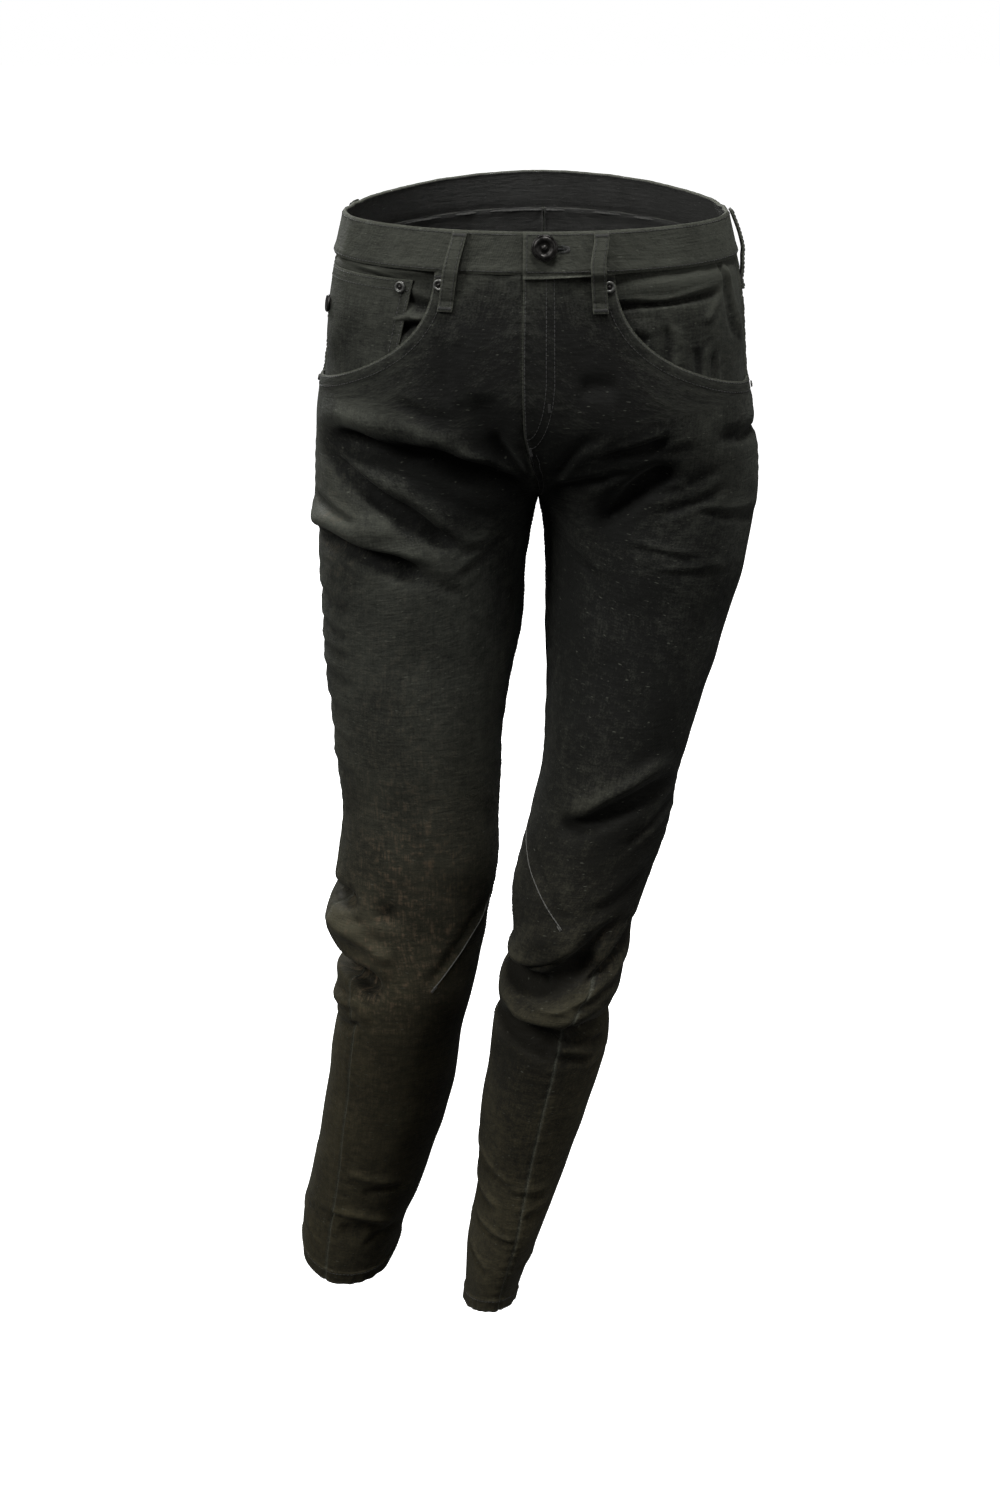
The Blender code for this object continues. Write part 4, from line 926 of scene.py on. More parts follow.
def cloth_sheet(name, columns, rows, layout, thickness, materials, tables=()):
    """A thin cloth piece. layout(across, down) gives points, normals, levels, edge wear, side."""
    mesh = bmesh.new()
    bmesh.ops.create_grid(mesh, x_segments=columns, y_segments=rows, size=0.5)
    data = mesh_data(mesh, name)
    flat = np.zeros(len(data.vertices) * 3)
    data.vertices.foreach_get("co", flat)
    flat = flat.reshape(-1, 3)
    across = flat[:, 0] + 0.5
    down = 0.5 - flat[:, 1]
    order = np.lexsort((across.round(6), down.round(6)))
    grid = (rows + 1, columns + 1)
    points, normals, level, edge, side = layout(
        across[order].reshape(grid), down[order].reshape(grid)
    )
    placed = np.zeros_like(flat)
    placed[order] = points.reshape(-1, 3)
    data.vertices.foreach_set("co", placed.ravel())
    data.update()
    map_cloth(data, points, level, order)
    face_outwards(data, points, normals)
    in_front = ease(0.5 - FACING_SLOPE * normals[..., 1])
    below_band = 1 - ease((level - 0.022) / 0.06)
    shades = {
        "worn": spotted(WORN, side, points) * in_front,
        # Painted shade from the shade spots
        "deep": spotted(SHADE_SPOTS, side, points) * in_front,
        "edge": np.clip(edge, 0, 1),
        "aged": ease((level - 0.30) / 0.45),
        # Painted light: lighter at the top, on the waistband, belt loops and the cloth just below,
        # more so on the left side
        "faded": below_band * (1 + 0.45 * ease(points[..., 0] / 0.12)),
        # Painted shade in crease troughs and painted light on crease ridges
        "creased": crease_shade_and_light(side, points, normals, tables) if tables else np.zeros(grid),
    }
    for word, values in shades.items():
        spread = np.zeros(len(flat))
        spread[order] = values.ravel()
        data.attributes.new(word, "FLOAT", "POINT").data.foreach_set("value", spread)
    for material in materials:
        data.materials.append(material)
    data.shade_smooth()
    piece = add_object(name, data)
    wall = piece.modifiers.new("wall", "SOLIDIFY")
    wall.thickness = thickness
    wall.offset = -1
    wall.material_offset = len(materials) - 1
    return piece


def edge_line(distance, width=0.0014):
    """How strongly a worked edge shows at a distance from it."""
    return hill(distance, width)


def finish_cloth(piece, node):
    """Puts a cloth piece in place of its solid."""
    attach(piece, "root")
    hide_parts(node)


# Materials


def new_material(name):
    material = bpy.data.materials.new(name)
    material.use_nodes = True
    return material, material.node_tree, material.node_tree.nodes["Principled BSDF"]


def node(tree, kind, inputs=None, **settings):
    """Adds a shader node. An input given as a pair of node and socket name is linked."""
    made = tree.nodes.new(kind)
    for word, value in settings.items():
        setattr(made, word, value)
    for word, value in (inputs or {}).items():
        if isinstance(value, tuple) and isinstance(value[0], bpy.types.Node):
            tree.links.new(value[0].outputs[value[1]], made.inputs[word])
        else:
            made.inputs[word].default_value = value
    return made


def stretched_noise(tree, source, scale, detail=2.0, rough=0.5):
    """Noise on the cloth's own places, stretched by different scales across and along it."""
    mapped = node(tree, "ShaderNodeMapping", {"Vector": source, "Scale": scale})
    return node(
        tree,
        "ShaderNodeTexNoise",
        {"Vector": (mapped, "Vector"), "Scale": 1.0, "Detail": detail, "Roughness": rough},
        noise_dimensions="3D",
    )


def ramp(tree, source, low, high):
    return node(
        tree,
        "ShaderNodeMapRange",
        {"Value": source, "From Min": low, "From Max": high, "To Min": 0.0, "To Max": 1.0},
    )


def blended(tree, share, first, second, mode="MIX"):
    """Mixes two colours, each a value or a linked node."""
    mix = node(tree, "ShaderNodeMix", data_type="RGBA", blend_type=mode)
    for word, value in (("Factor", share), ("A", first), ("B", second)):
        socket = [s for s in mix.inputs if s.name == word and s.enabled][0]
        if isinstance(value, tuple) and isinstance(value[0], bpy.types.Node):
            tree.links.new(value[0].outputs[value[1]], socket)
        else:
            socket.default_value = value
    return mix


def result(mix):
    return (mix, [i for i, s in enumerate(mix.outputs) if s.enabled][0])


def scaled(tree, source, factor):
    return node(tree, "ShaderNodeMath", {0: source, 1: factor}, operation="MULTIPLY")


def maths(tree, operation, first, second):
    """One operation on two values, each a number or a linked node."""
    made = node(tree, "ShaderNodeMath", {0: first, 1: second}, operation=operation)
    return made, "Value"


def spread_range(tree, source, taken, given, clamp=True):
    """Turns one range of values into another."""
    ends = {"From Min": taken[0], "From Max": taken[1], "To Min": given[0], "To Max": given[1]}
    made = node(tree, "ShaderNodeMapRange", {"Value": source, **ends}, clamp=clamp)
    return made, "Result"


def bumped(tree, height, strength, distance, below=None):
    """Fine relief, laid over the relief below it."""
    inputs = {"Height": height, "Strength": strength, "Distance": distance}
    if below:
        inputs["Normal"] = below
    return node(tree, "ShaderNodeBump", inputs), "Normal"


def summed(tree, terms):
    """Adds up noises, each as (node, weight), centred on zero."""
    total = None
    for noise, weight in terms:
        part = spread_range(tree, (noise, "Fac"), (0, 1), (-weight, weight), clamp=False)
        total = maths(tree, "ADD", total, part) if total else part
    return total


def paler(colour, share):
    """A colour with all its channels multiplied, and full alpha."""
    return (*(share * value for value in colour), 1.0)


def set_inputs(shader, values):
    for word, value in values.items():
        shader.inputs[word].default_value = value


def denim(name, dark, light, brown, rust, sizes):
    """Black denim: twill, slubs across it, lint, worn dye and paler worked edges, with painted
    light at the top and on crease ridges and painted shade in crease troughs and shade spots.
    """
    material, tree, shader = new_material(name)
    cloth = (node(tree, "ShaderNodeUVMap", uv_map="cloth"), "UV")
    worn, edge, aged, faded, deep, creased = (
        (node(tree, "ShaderNodeAttribute", attribute_name=word), "Fac")
        for word in ("worn", "edge", "aged", "faded", "deep", "creased")
    )
    slub = stretched_noise(tree, cloth, (62.0, 520.0, 1.0), 3.0, 0.6)
    warp = stretched_noise(tree, cloth, (560.0, 60.0, 1.0), 2.0, 0.5)
    cloud = stretched_noise(tree, cloth, (17.0, 13.0, 1.0), 4.0, 0.6)
    mottle = stretched_noise(tree, cloth, (120.0, 170.0, 1.0), 3.0, 0.65)
    grain = stretched_noise(tree, cloth, (640.0, 760.0, 1.0), 2.0, 0.7)
    lint = stretched_noise(tree, cloth, (170.0, 560.0, 1.0), 1.0, 0.5)
    tone = summed(tree, [(slub, 0.5), (warp, 0.5), (cloud, 1.3), (mottle, 1.0), (grain, 1.1)])
    # Lighter for the painted light at the top of the garment, and where the dye has worn off
    for wear_and_light, amount in ((faded, 0.66), (worn, 0.50)):
        tone = maths(tree, "ADD", tone, (scaled(tree, wear_and_light, amount), "Value"))
    # Darker for painted shade: the shade spots and the crease troughs, with painted light on
    # crease ridges
    for painted_shading, amount in ((deep, 1.0), (creased, 0.95)):
        tone = maths(tree, "SUBTRACT", tone, (scaled(tree, painted_shading, amount), "Value"))
    share = (ramp(tree, tone, -1.0, 1.0), "Result")
    body = blended(tree, share, (*dark, 1.0), (*light, 1.0))
    browned = blended(tree, share, paler(brown, 0.3), paler(brown, 1.9))
    tint = blended(tree, (scaled(tree, aged, 0.9), "Value"), result(body), result(browned))
    patch = (ramp(tree, (mottle, "Fac"), 0.47, 0.64), "Result")
    fleck = (ramp(tree, (warp, "Fac"), 0.42, 0.60), "Result")
    rubbed = maths(tree, "MULTIPLY", patch, fleck)
    rubbed = maths(tree, "MULTIPLY", rubbed, maths(tree, "POWER", worn, 2.0))
    broken = (ramp(tree, (grain, "Fac"), 0.25, 0.7), "Result")
    worked = maths(tree, "MULTIPLY", edge, broken)
    lints = (ramp(tree, (lint, "Fac"), 0.70, 0.77), "Result")
    for mask, amount, colour in (
        (rubbed, 0.9, (*rust, 1.0)),
        (worked, 0.9, paler(light, 2.3)),
        (lints, 0.45, paler(light, 2.6)),
    ):
        tint = blended(tree, (scaled(tree, mask, amount), "Value"), result(tint), colour)
    tree.links.new(tint.outputs[result(tint)[1]], shader.inputs["Base Color"])
    twill = node(
        tree,
        "ShaderNodeTexWave",
        {"Vector": cloth, "Scale": sizes.twill_scale, "Distortion": 1.2, "Detail": 1.0},
        wave_type="BANDS",
        bands_direction="DIAGONAL",
    )
    weave = maths(tree, "MULTIPLY", (twill, "Fac"), (slub, "Fac"))
    fine = bumped(tree, weave, 0.6, 0.0003)
    slubbed = bumped(tree, (slub, "Fac"), 0.7, 0.0006, fine)
    nap, normal = bumped(tree, (mottle, "Fac"), 0.6, 0.0012, slubbed)
    tree.links.new(nap.outputs[normal], shader.inputs["Normal"])
    rough, value = spread_range(tree, (slub, "Fac"), (0.3, 0.7), (0.72, 0.92))
    tree.links.new(rough.outputs[value], shader.inputs["Roughness"])
    set_inputs(
        shader,
        {
            "Specular IOR Level": 0.14,
            "Sheen Weight": 0.03,
            "Sheen Roughness": 0.5,
            "Sheen Tint": (0.80, 0.84, 0.74, 1.0),
        },
    )
    return material


def thread(name, colour):
    """Twisted sewing thread."""
    material, tree, shader = new_material(name)
    where = (node(tree, "ShaderNodeTexCoord"), "Object")
    spots = node(tree, "ShaderNodeTexNoise", {"Vector": where, "Scale": 260.0, "Detail": 2.0})
    tint = blended(tree, (spots, "Fac"), paler(colour, 0.45), (*colour, 1.0))
    tree.links.new(tint.outputs[result(tint)[1]], shader.inputs["Base Color"])
    set_inputs(shader, {"Roughness": 0.7, "Sheen Weight": 0.15})
    return material


def metal(name, colour, roughness, metallic=0.85):
    """Cast fitting metal with rubbed patches."""
    material, tree, shader = new_material(name)
    where = (node(tree, "ShaderNodeTexCoord"), "Object")
    spots = node(tree, "ShaderNodeTexNoise", {"Vector": where, "Scale": 420.0, "Detail": 4.0})
    rubbed = tuple(min(1.0, 2.2 * share) for share in colour)
    share = ramp(tree, (spots, "Fac"), 0.45, 0.75)
    tint = blended(tree, (share, "Result"), (*colour, 1.0), (*rubbed, 1.0))
    tree.links.new(tint.outputs[result(tint)[1]], shader.inputs["Base Color"])
    shader.inputs["Metallic"].default_value = metallic
    ends = (roughness - 0.1, roughness + 0.15)
    rough, value = spread_range(tree, (spots, "Fac"), (0.3, 0.7), ends)
    tree.links.new(rough.outputs[value], shader.inputs["Roughness"])
    pitted, normal = bumped(tree, (spots, "Fac"), 0.2, 0.0001)
    tree.links.new(pitted.outputs[normal], shader.inputs["Normal"])
    return material


def denim_pair(scene):
    """The face of the denim and its paler inside."""
    found = [bpy.data.materials.get(word) for word in ("denim_face", "denim_inside")]
    if None not in found:
        return found
    colours = scene.jeans_colours
    sizes = scene.jeans_sizes
    pale = tuple(1.6 * value for value in colours.inside)
    face_colours = (colours.denim_dark, colours.denim_light, colours.denim_brown, colours.rust)
    face = denim("denim_face", *face_colours, sizes)
    inside = denim("denim_inside", colours.inside, pale, colours.inside, pale, sizes)
    return [face, inside]


# The dart thread is paler than the rest, partly rubbed and partly a painted highlight along the
# dart's fold
DART_THREAD_AND_HIGHLIGHT = 5.0


def thread_material(scene, name="thread"):
    """Sewing thread, or the pale thread at the knee darts, pale partly as rubbed thread and partly
    as a painted highlight along each dart's folded edge.
    """
    share = {"thread": 1.0, "rubbed_thread": DART_THREAD_AND_HIGHLIGHT}[name]
    colour = tuple(share * value for value in scene.jeans_colours.thread)
    return bpy.data.materials.get(name) or thread(name, colour)


# Stitching

STITCH_LOT = 30
TACK_PITCH = 0.0007
TACK_REACH = 0.0011
INSEAM_ROWS = (-0.0016, -0.0075)
CENTRE_BACK_ROWS = (0.0016, 0.0075)
SCOOP_ROWS = (0.0017, 0.0085)
YOKE_ROWS = (0.0018, 0.0078)
COIN_TOP_ROWS = (0.0018, 0.0080)
COIN_SIDE_ROWS = (-0.0016, -0.0070)
BACK_POCKET_ROWS = (0.0018, 0.0078)
BACK_POCKET_TOP_ROWS = (0.0018, 0.0165)
BAND_TOP_ROW = 0.0024
BAND_FOOT_ROW = 0.0022


def beside(face, across, down, distance):
    """A path on a face, moved sideways by a distance in metres."""
    step = 0.0008
    along_a = (face(across + step, down)[0] - face(across - step, down)[0]) / (2 * step)
    along_b = (face(across, down + step)[0] - face(across, down - step)[0]) / (2 * step)
    size_a = np.linalg.norm(along_a, axis=-1)
    size_b = np.linalg.norm(along_b, axis=-1)
    run_a = np.gradient(across) * size_a
    run_b = np.gradient(down) * size_b
    length = np.sqrt(run_a**2 + run_b**2) + 1e-12
    return across - distance * run_b / length / size_a, down + distance * run_a / length / size_b


def sew(mesh, face, across, down, sizes, distance=0.0, lift=0.0002, fill=0.76, width=1.0):
    """Adds stitches along a path on a face. fill is the share of each pitch with thread."""
    width = width * sizes.thread_width
    if distance:
        across, down = beside(face, across, down, distance)
    points, normals = face(across, down, lift)
    reach = np.concatenate([[0], np.cumsum(np.linalg.norm(np.diff(points, axis=0), axis=1))])
    count = max(1, int(reach[-1] / sizes.stitch_pitch))
    marks = np.arange(count)[:, None] + 0.5 + np.array([-fill, 0, fill]) / 2
    marks = marks * reach[-1] / count
    places = np.stack([np.interp(marks, reach, points[:, i]) for i in range(3)], axis=-1)
    ways = np.stack([np.interp(marks[:, 1], reach, normals[:, i]) for i in range(3)], axis=-1)
    for first in range(0, count, STITCH_LOT):
        lot = slice(first, first + STITCH_LOT)
        run = bmesh.new()
        for place, way in zip(places[lot], ways[lot]):
            stitch_between(run, Vector(place[0]), Vector(place[2]), Vector(way), width)
        gathered = mesh_data(run, "run")
        mesh.from_mesh(gathered)
        bpy.data.meshes.remove(gathered)


def place_at(side, x, z):
    """Turn and level of the place on a front that is seen at x and z."""
    turn, level = 0.5, 0.5
    half_turn, half_level = 0.49, 0.44
    for _ in range(5):
        turns, levels = np.meshgrid(
            np.clip(turn + np.linspace(-half_turn, half_turn, 31), 0.005, 0.995),
            np.clip(level + np.linspace(-half_level, half_level, 61), 0.04, 0.90),
        )
        points = base_surface(side, turns, levels)
        away = (points[..., 0] - x) ** 2 + (points[..., 2] - z) ** 2
        best = np.unravel_index(away.argmin(), away.shape)
        turn, level = turns[best], levels[best]
        half_turn, half_level = half_turn / 8, half_level / 8
    return turn, level


def stitch_between(mesh, start, end, up, width):
    """One stitch, a small spindle of thread."""
    along = end - start
    length = along.length
    along.normalize()
    sideways = up.cross(along).normalized()
    over = along.cross(sideways)
    turned = Matrix((sideways * width / 2, over * width * 0.4, along * length * 0.56)).transposed()
    place = Matrix.Translation((start + end) / 2) @ turned.to_4x4()
    bmesh.ops.create_uvsphere(mesh, u_segments=5, v_segments=4, radius=1, matrix=place)


def tack(mesh, face, across, down, width, sizes, sideways=True):
    """A bar tack: close stitches side by side across a strap or corner."""
    step = 0.0008
    a = np.array([across, across + step, across])
    b = np.array([down, down, down + step])
    points, normals = face(a, b, 0.0003)
    right = Vector(points[1] - points[0]).normalized()
    below = Vector(points[2] - points[0]).normalized()
    run, stroke = (right, below) if sideways else (below, right)
    count = int(width / TACK_PITCH)
    for number in range(count):
        middle = Vector(points[0]) + run * (number / (count - 1) - 0.5) * width
        start, end = middle - stroke * TACK_REACH, middle + stroke * TACK_REACH
        stitch_between(mesh, start, end, Vector(normals[0]), sizes.thread_width)


def finish_stitching(mesh, name, material):
    """Turns a bmesh of stitches into a piece that goes with its cloth."""
    data = mesh_data(mesh, name)
    data.materials.append(material)
    data.shade_smooth()
    piece = add_object(name, data)
    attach(piece, "root")
    return piece


# Turned metal fittings. Each shape runs from the axis outwards and back to it.

BUTTON_RADIUS = 0.0095
# Share of the radius, and height in metres
BUTTON_SHAPE = (
    (0.0, 0.0),
    (0.30, 0.0),
    (0.30, 0.0016),
    (0.90, 0.0016),
    (0.97, 0.0020),
    (1.0, 0.0027),
    (0.985, 0.0034),
    (0.94, 0.0039),
    (0.89, 0.0040),
    (0.86, 0.0037),
    (0.83, 0.0041),
    (0.72, 0.0046),
    (0.60, 0.0045),
    (0.52, 0.0040),
    (0.47, 0.0031),
    (0.36, 0.0028),
    (0.27, 0.0029),
    (0.24, 0.0036),
    (0.19, 0.0043),
    (0.10, 0.0046),
    (0.0, 0.0047),
)
RIVET_SHAPE = (
    (0.0, 0.0),
    (0.96, 0.0),
    (1.0, 0.0004),
    (0.97, 0.0009),
    (0.84, 0.0013),
    (0.66, 0.0013),
    (0.52, 0.0009),
    (0.46, 0.0005),
    (0.30, 0.0005),
    (0.26, 0.0011),
    (0.14, 0.0015),
    (0.0, 0.0016),
)
RIVET_MIDDLE = 0.42
# Radius and height in metres
STUD_SHAPE = (
    (0.0, 0.0),
    (0.0058, 0.0),
    (0.0066, 0.0004),
    (0.0068, 0.0010),
    (0.0064, 0.0018),
    (0.0058, 0.0022),
    (0.0050, 0.0021),
    (0.0044, 0.0018),
    (0.0020, 0.0019),
    (0.0, 0.0022),
)


def turned_fitting(name, shape, radius, place, material, steps):
    """A turned fitting. shape holds (share of the radius, height)."""
    mesh = bmesh.new()
    verts = [mesh.verts.new((radius * share, 0, height)) for share, height in shape]
    edges = [mesh.edges.new(pair) for pair in zip(verts, verts[1:])]
    bmesh.ops.spin(
        mesh,
        geom=verts + edges,
        cent=(0, 0, 0),
        axis=(0, 0, 1),
        angle=2 * math.pi,
        steps=steps,
        use_merge=True,
    )
    bmesh.ops.remove_doubles(mesh, verts=mesh.verts[:], dist=0.00001)
    bmesh.ops.transform(mesh, matrix=place, verts=mesh.verts[:])
    bmesh.ops.recalc_face_normals(mesh, faces=mesh.faces[:])
    data = mesh_data(mesh, name)
    data.materials.append(material)
    data.shade_smooth()
    data.set_sharp_from_angle(angle=math.radians(50))
    piece = add_object(name, data)
    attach(piece, "root")
    return piece


def frame_on(face, across, down, lift):
    """A matrix whose Z faces out of a face at a place on it."""
    points, normals = face(np.array([across]), np.array([down]), lift)
    facing = Vector(normals[0]).to_track_quat("Z", "Y").to_matrix().to_4x4()
    return Matrix.Translation(Vector(points[0])) @ facing


# Sizes and colours a user would change


class JeansSizes(bpy.types.PropertyGroup):
    """Sizes of the cloth's fine relief and of the sewing."""

    stitch_pitch: bpy.props.FloatProperty(
        name="Stitch pitch",
        description="Length of a stitch with its gap",
        default=0.0032,
        unit="LENGTH",
    )
    thread_width: bpy.props.FloatProperty(
        name="Thread width",
        description="Width of the sewing thread",
        default=0.0006,
        unit="LENGTH",
    )
    pucker_depth: bpy.props.FloatProperty(
        name="Pucker depth",
        description="Depth of the ripples beside seams",
        default=0.00032,
        unit="LENGTH",
    )
    pucker_length: bpy.props.FloatProperty(
        name="Pucker length",
        description="Length of a ripple beside a seam",
        default=0.0115,
        unit="LENGTH",
    )
    twill_scale: bpy.props.FloatProperty(
        name="Twill scale", description="Fineness of the diagonal weave lines", default=480.0
    )


class JeansColours(bpy.types.PropertyGroup):
    """Colours of the denim, thread and metal."""

    denim_dark: bpy.props.FloatVectorProperty(
        name="Denim",
        description="Black of the denim",
        subtype="COLOR",
        default=(0.0030, 0.0032, 0.0025),
    )
    denim_light: bpy.props.FloatVectorProperty(
        name="Slubs",
        description="Paler yarns of the denim",
        subtype="COLOR",
        default=(0.0360, 0.0376, 0.0300),
    )
    denim_brown: bpy.props.FloatVectorProperty(
        name="Worn legs",
        description="Brown of the lower legs",
        subtype="COLOR",
        default=(0.0212, 0.0178, 0.0088),
    )
    rust: bpy.props.FloatVectorProperty(
        name="Rubbed",
        description="Reddish brown of rubbed cloth",
        subtype="COLOR",
        default=(0.084, 0.060, 0.038),
    )
    inside: bpy.props.FloatVectorProperty(
        name="Inside",
        description="Wrong side of the denim",
        subtype="COLOR",
        default=(0.020, 0.020, 0.019),
    )
    thread: bpy.props.FloatVectorProperty(
        name="Thread",
        description="Sewing thread",
        subtype="COLOR",
        default=(0.014, 0.014, 0.012),
    )
    dark_metal: bpy.props.FloatVectorProperty(
        name="Button metal",
        description="Button and stud",
        subtype="COLOR",
        default=(0.018, 0.017, 0.016),
    )
    grey_metal: bpy.props.FloatVectorProperty(
        name="Rivet metal",
        description="Rivets",
        subtype="COLOR",
        default=(0.075, 0.075, 0.070),
    )


class StageSettings(bpy.types.PropertyGroup):
    """Floor and lights."""

    floor_level: bpy.props.FloatProperty(
        name="Floor level",
        description="Height of the floor below the waist",
        default=-1.03,
        unit="LENGTH",
    )
    key_power: bpy.props.FloatProperty(
        name="Key light",
        description="Power of the large light at the front",
        default=64.0,
        unit="POWER",
    )
    fill_power: bpy.props.FloatProperty(
        name="Fill light",
        description="Power of the light from the other side",
        default=14.0,
        unit="POWER",
    )
    top_power: bpy.props.FloatProperty(
        name="Top light",
        description="Power of the light above the front",
        default=80.0,
        unit="POWER",
    )
    back_power: bpy.props.FloatProperty(
        name="Back light",
        description="Power of the light behind",
        default=70.0,
        unit="POWER",
    )
    surround: bpy.props.FloatProperty(
        name="Surround", description="Brightness of the studio all round", default=0.10
    )


# Operators, one for each piece or group of like pieces


def built(context):
    """The settings that every cloth operator uses."""
    scene = context.scene
    return scene.jeans_sizes, denim_pair(scene), thread_material(scene)


def leg_zones(top, side, counts):
    """Levels down a front or back, each with the rows of cloth above it."""
    hem = HEM_LEVEL[side]
    turning = hem - HEM_DEPTH
    levels = (top, SCOOP_LEVEL, CROTCH_ROW, KNEE_TOP, KNEE_FOOT, HEM_TILT_START, turning)
    levels = levels + (turning + HEM_STEP, hem - HEM_EDGE, hem)
    return list(zip(levels, (0, *counts, 4, 7, 3)))


class JEANS_OT_fronts(bpy.types.Operator):
    """Makes both fronts with their scooped pockets, fly and stitching"""

    bl_idname = "jeans.fronts"
    bl_label = "Fronts"

    def execute(self, context):
        sizes, cloth, yarn = built(context)
        for side, word in SIDES:
            self.make_front(side, word, sizes, cloth, yarn)
        return {"FINISHED"}

    def make_front(self, side, word, sizes, cloth, yarn):
        face = front_face(side, sizes)
        top = WAISTBAND_HEIGHT - BAND_TUCK
        hem = HEM_LEVEL[side]
        zones = leg_zones(top, side, (52, 82, 78, 78, 50, 48))
        rows = sum(count for _, count in zones)
        upper = zones[1][1] / rows

        def layout(across, down):
            across = bunched(across)
            level = spaced(zones, down)
            zone = np.clip(down / upper, 0, 1)
            middle = top + (FRONT_SLANT_LEVEL - top) * zone
            edge_turn, edge_level = scoop_point(zone)
            slanted = middle + (edge_level - middle) * across
            settled = np.clip((level - SCOOP_LEVEL) / (CROTCH_ROW - SCOOP_LEVEL), 0, 1)
            level = np.where(level < CROTCH_ROW, slanted + (CROTCH_ROW - slanted) * settled, level)
            turn = across * edge_turn
            speed = speed_along(side, turn, level)
            points, normals = face(turn, level)
            edge = edge_line(scoop_distance(side, turn, level), 0.0012)
            edge = edge * (level < SCOOP_LEVEL + 0.004)
            edge = edge + 0.55 * edge_line(turn * speed) + 0.7 * edge_line((1 - turn) * speed)
            edge = edge + 0.6 * edge_line(hem - level)
            return points, normals, level, edge, side

        tables = (CREASES, FOLDS)
        piece = cloth_sheet("front_%s_cloth" % word, 104, rows, layout, DENIM, cloth, tables)
        finish_cloth(piece, "front_" + word)
        mesh = bmesh.new()
        turn, level = scoop_point(np.linspace(0.02, 0.985, 120))
        for distance in SCOOP_ROWS:
            sew(mesh, face, turn, level, sizes, distance)
        level = np.linspace(CROTCH_ROW + 0.01, hem - 0.002, 260)
        for distance in INSEAM_ROWS:
            sew(mesh, face, np.full_like(level, 0.001), level, sizes, distance)
        turn = np.linspace(0.01, 0.99, 90)
        sew(mesh, face, turn, np.full_like(turn, hem - HEM_STITCHES), sizes)
        if side == LEFT:
            self.sew_fly(mesh, face, sizes)
        tack(mesh, face, 0.255, 0.0345, 0.006, sizes)
        tack(mesh, face, 0.985, 0.1265, 0.005, sizes)
        finish_stitching(mesh, "front_%s_stitching" % word, yarn)
        for dart in DARTS:
            if dart.side == side:
                self.sew_dart(face, dart, word, sizes)

    def sew_dart(self, face, dart, word, sizes):
        """A thin sewn ridge with a short tack at its end."""
        mesh = bmesh.new()
        places = np.array([place_at(dart.side, x, z) for x, z in dart.path])
        share = np.linspace(0, 1, 50)
        marks = np.linspace(0, 1, len(places))
        turn = np.interp(share, marks, places[:, 0])
        level = np.interp(share, marks, places[:, 1])
        sew(mesh, face, turn, level, sizes, fill=DART_FILL, width=DART_WIDTH)
        foot = slice(-4, None)
        sew(mesh, face, turn[foot], level[foot], sizes, 0.0012, fill=DART_FILL, width=DART_WIDTH)
        # Pale thread: partly rubbed, partly a painted highlight along the fold
        yarn = thread_material(bpy.context.scene, "rubbed_thread")
        finish_stitching(mesh, "knee_dart_" + word, yarn)

    def sew_fly(self, mesh, face, sizes):
        """The curved double row of the fly, the edge row and the row below it."""
        speed = speed_at(LEFT, 0.05, 0.08)
        straight = np.linspace(WAISTBAND_HEIGHT + 0.002, FLY_CURVE_START, 40)
        angle = np.linspace(0, math.pi / 2, 40)
        for width, foot in ((0.0235, FLY_FOOT), (0.0175, FLY_FOOT - 0.006)):
            far = width / speed
            bend_level = FLY_CURVE_START + (foot - FLY_CURVE_START) * np.sin(angle)
            bend_turn = far * (0.12 + 0.88 * np.cos(angle))
            turn = np.concatenate([np.full_like(straight, far), bend_turn[1:]])
            sew(mesh, face, turn, np.concatenate([straight, bend_level[1:]]), sizes)
        level = np.linspace(WAISTBAND_HEIGHT + 0.002, CROTCH_ROW - 0.03, 120)
        sew(mesh, face, np.full_like(level, 0.002), level, sizes, -0.0016)
        level = np.linspace(FLY_FOOT + 0.004, CROTCH_ROW - 0.03, 80)
        sew(mesh, face, np.full_like(level, 0.002), level, sizes, -0.0072)
        tack(mesh, face, 0.012, FLY_FOOT + 0.002, 0.008, sizes, False)
        tack(mesh, face, 0.075, 0.128, 0.006, sizes, False)


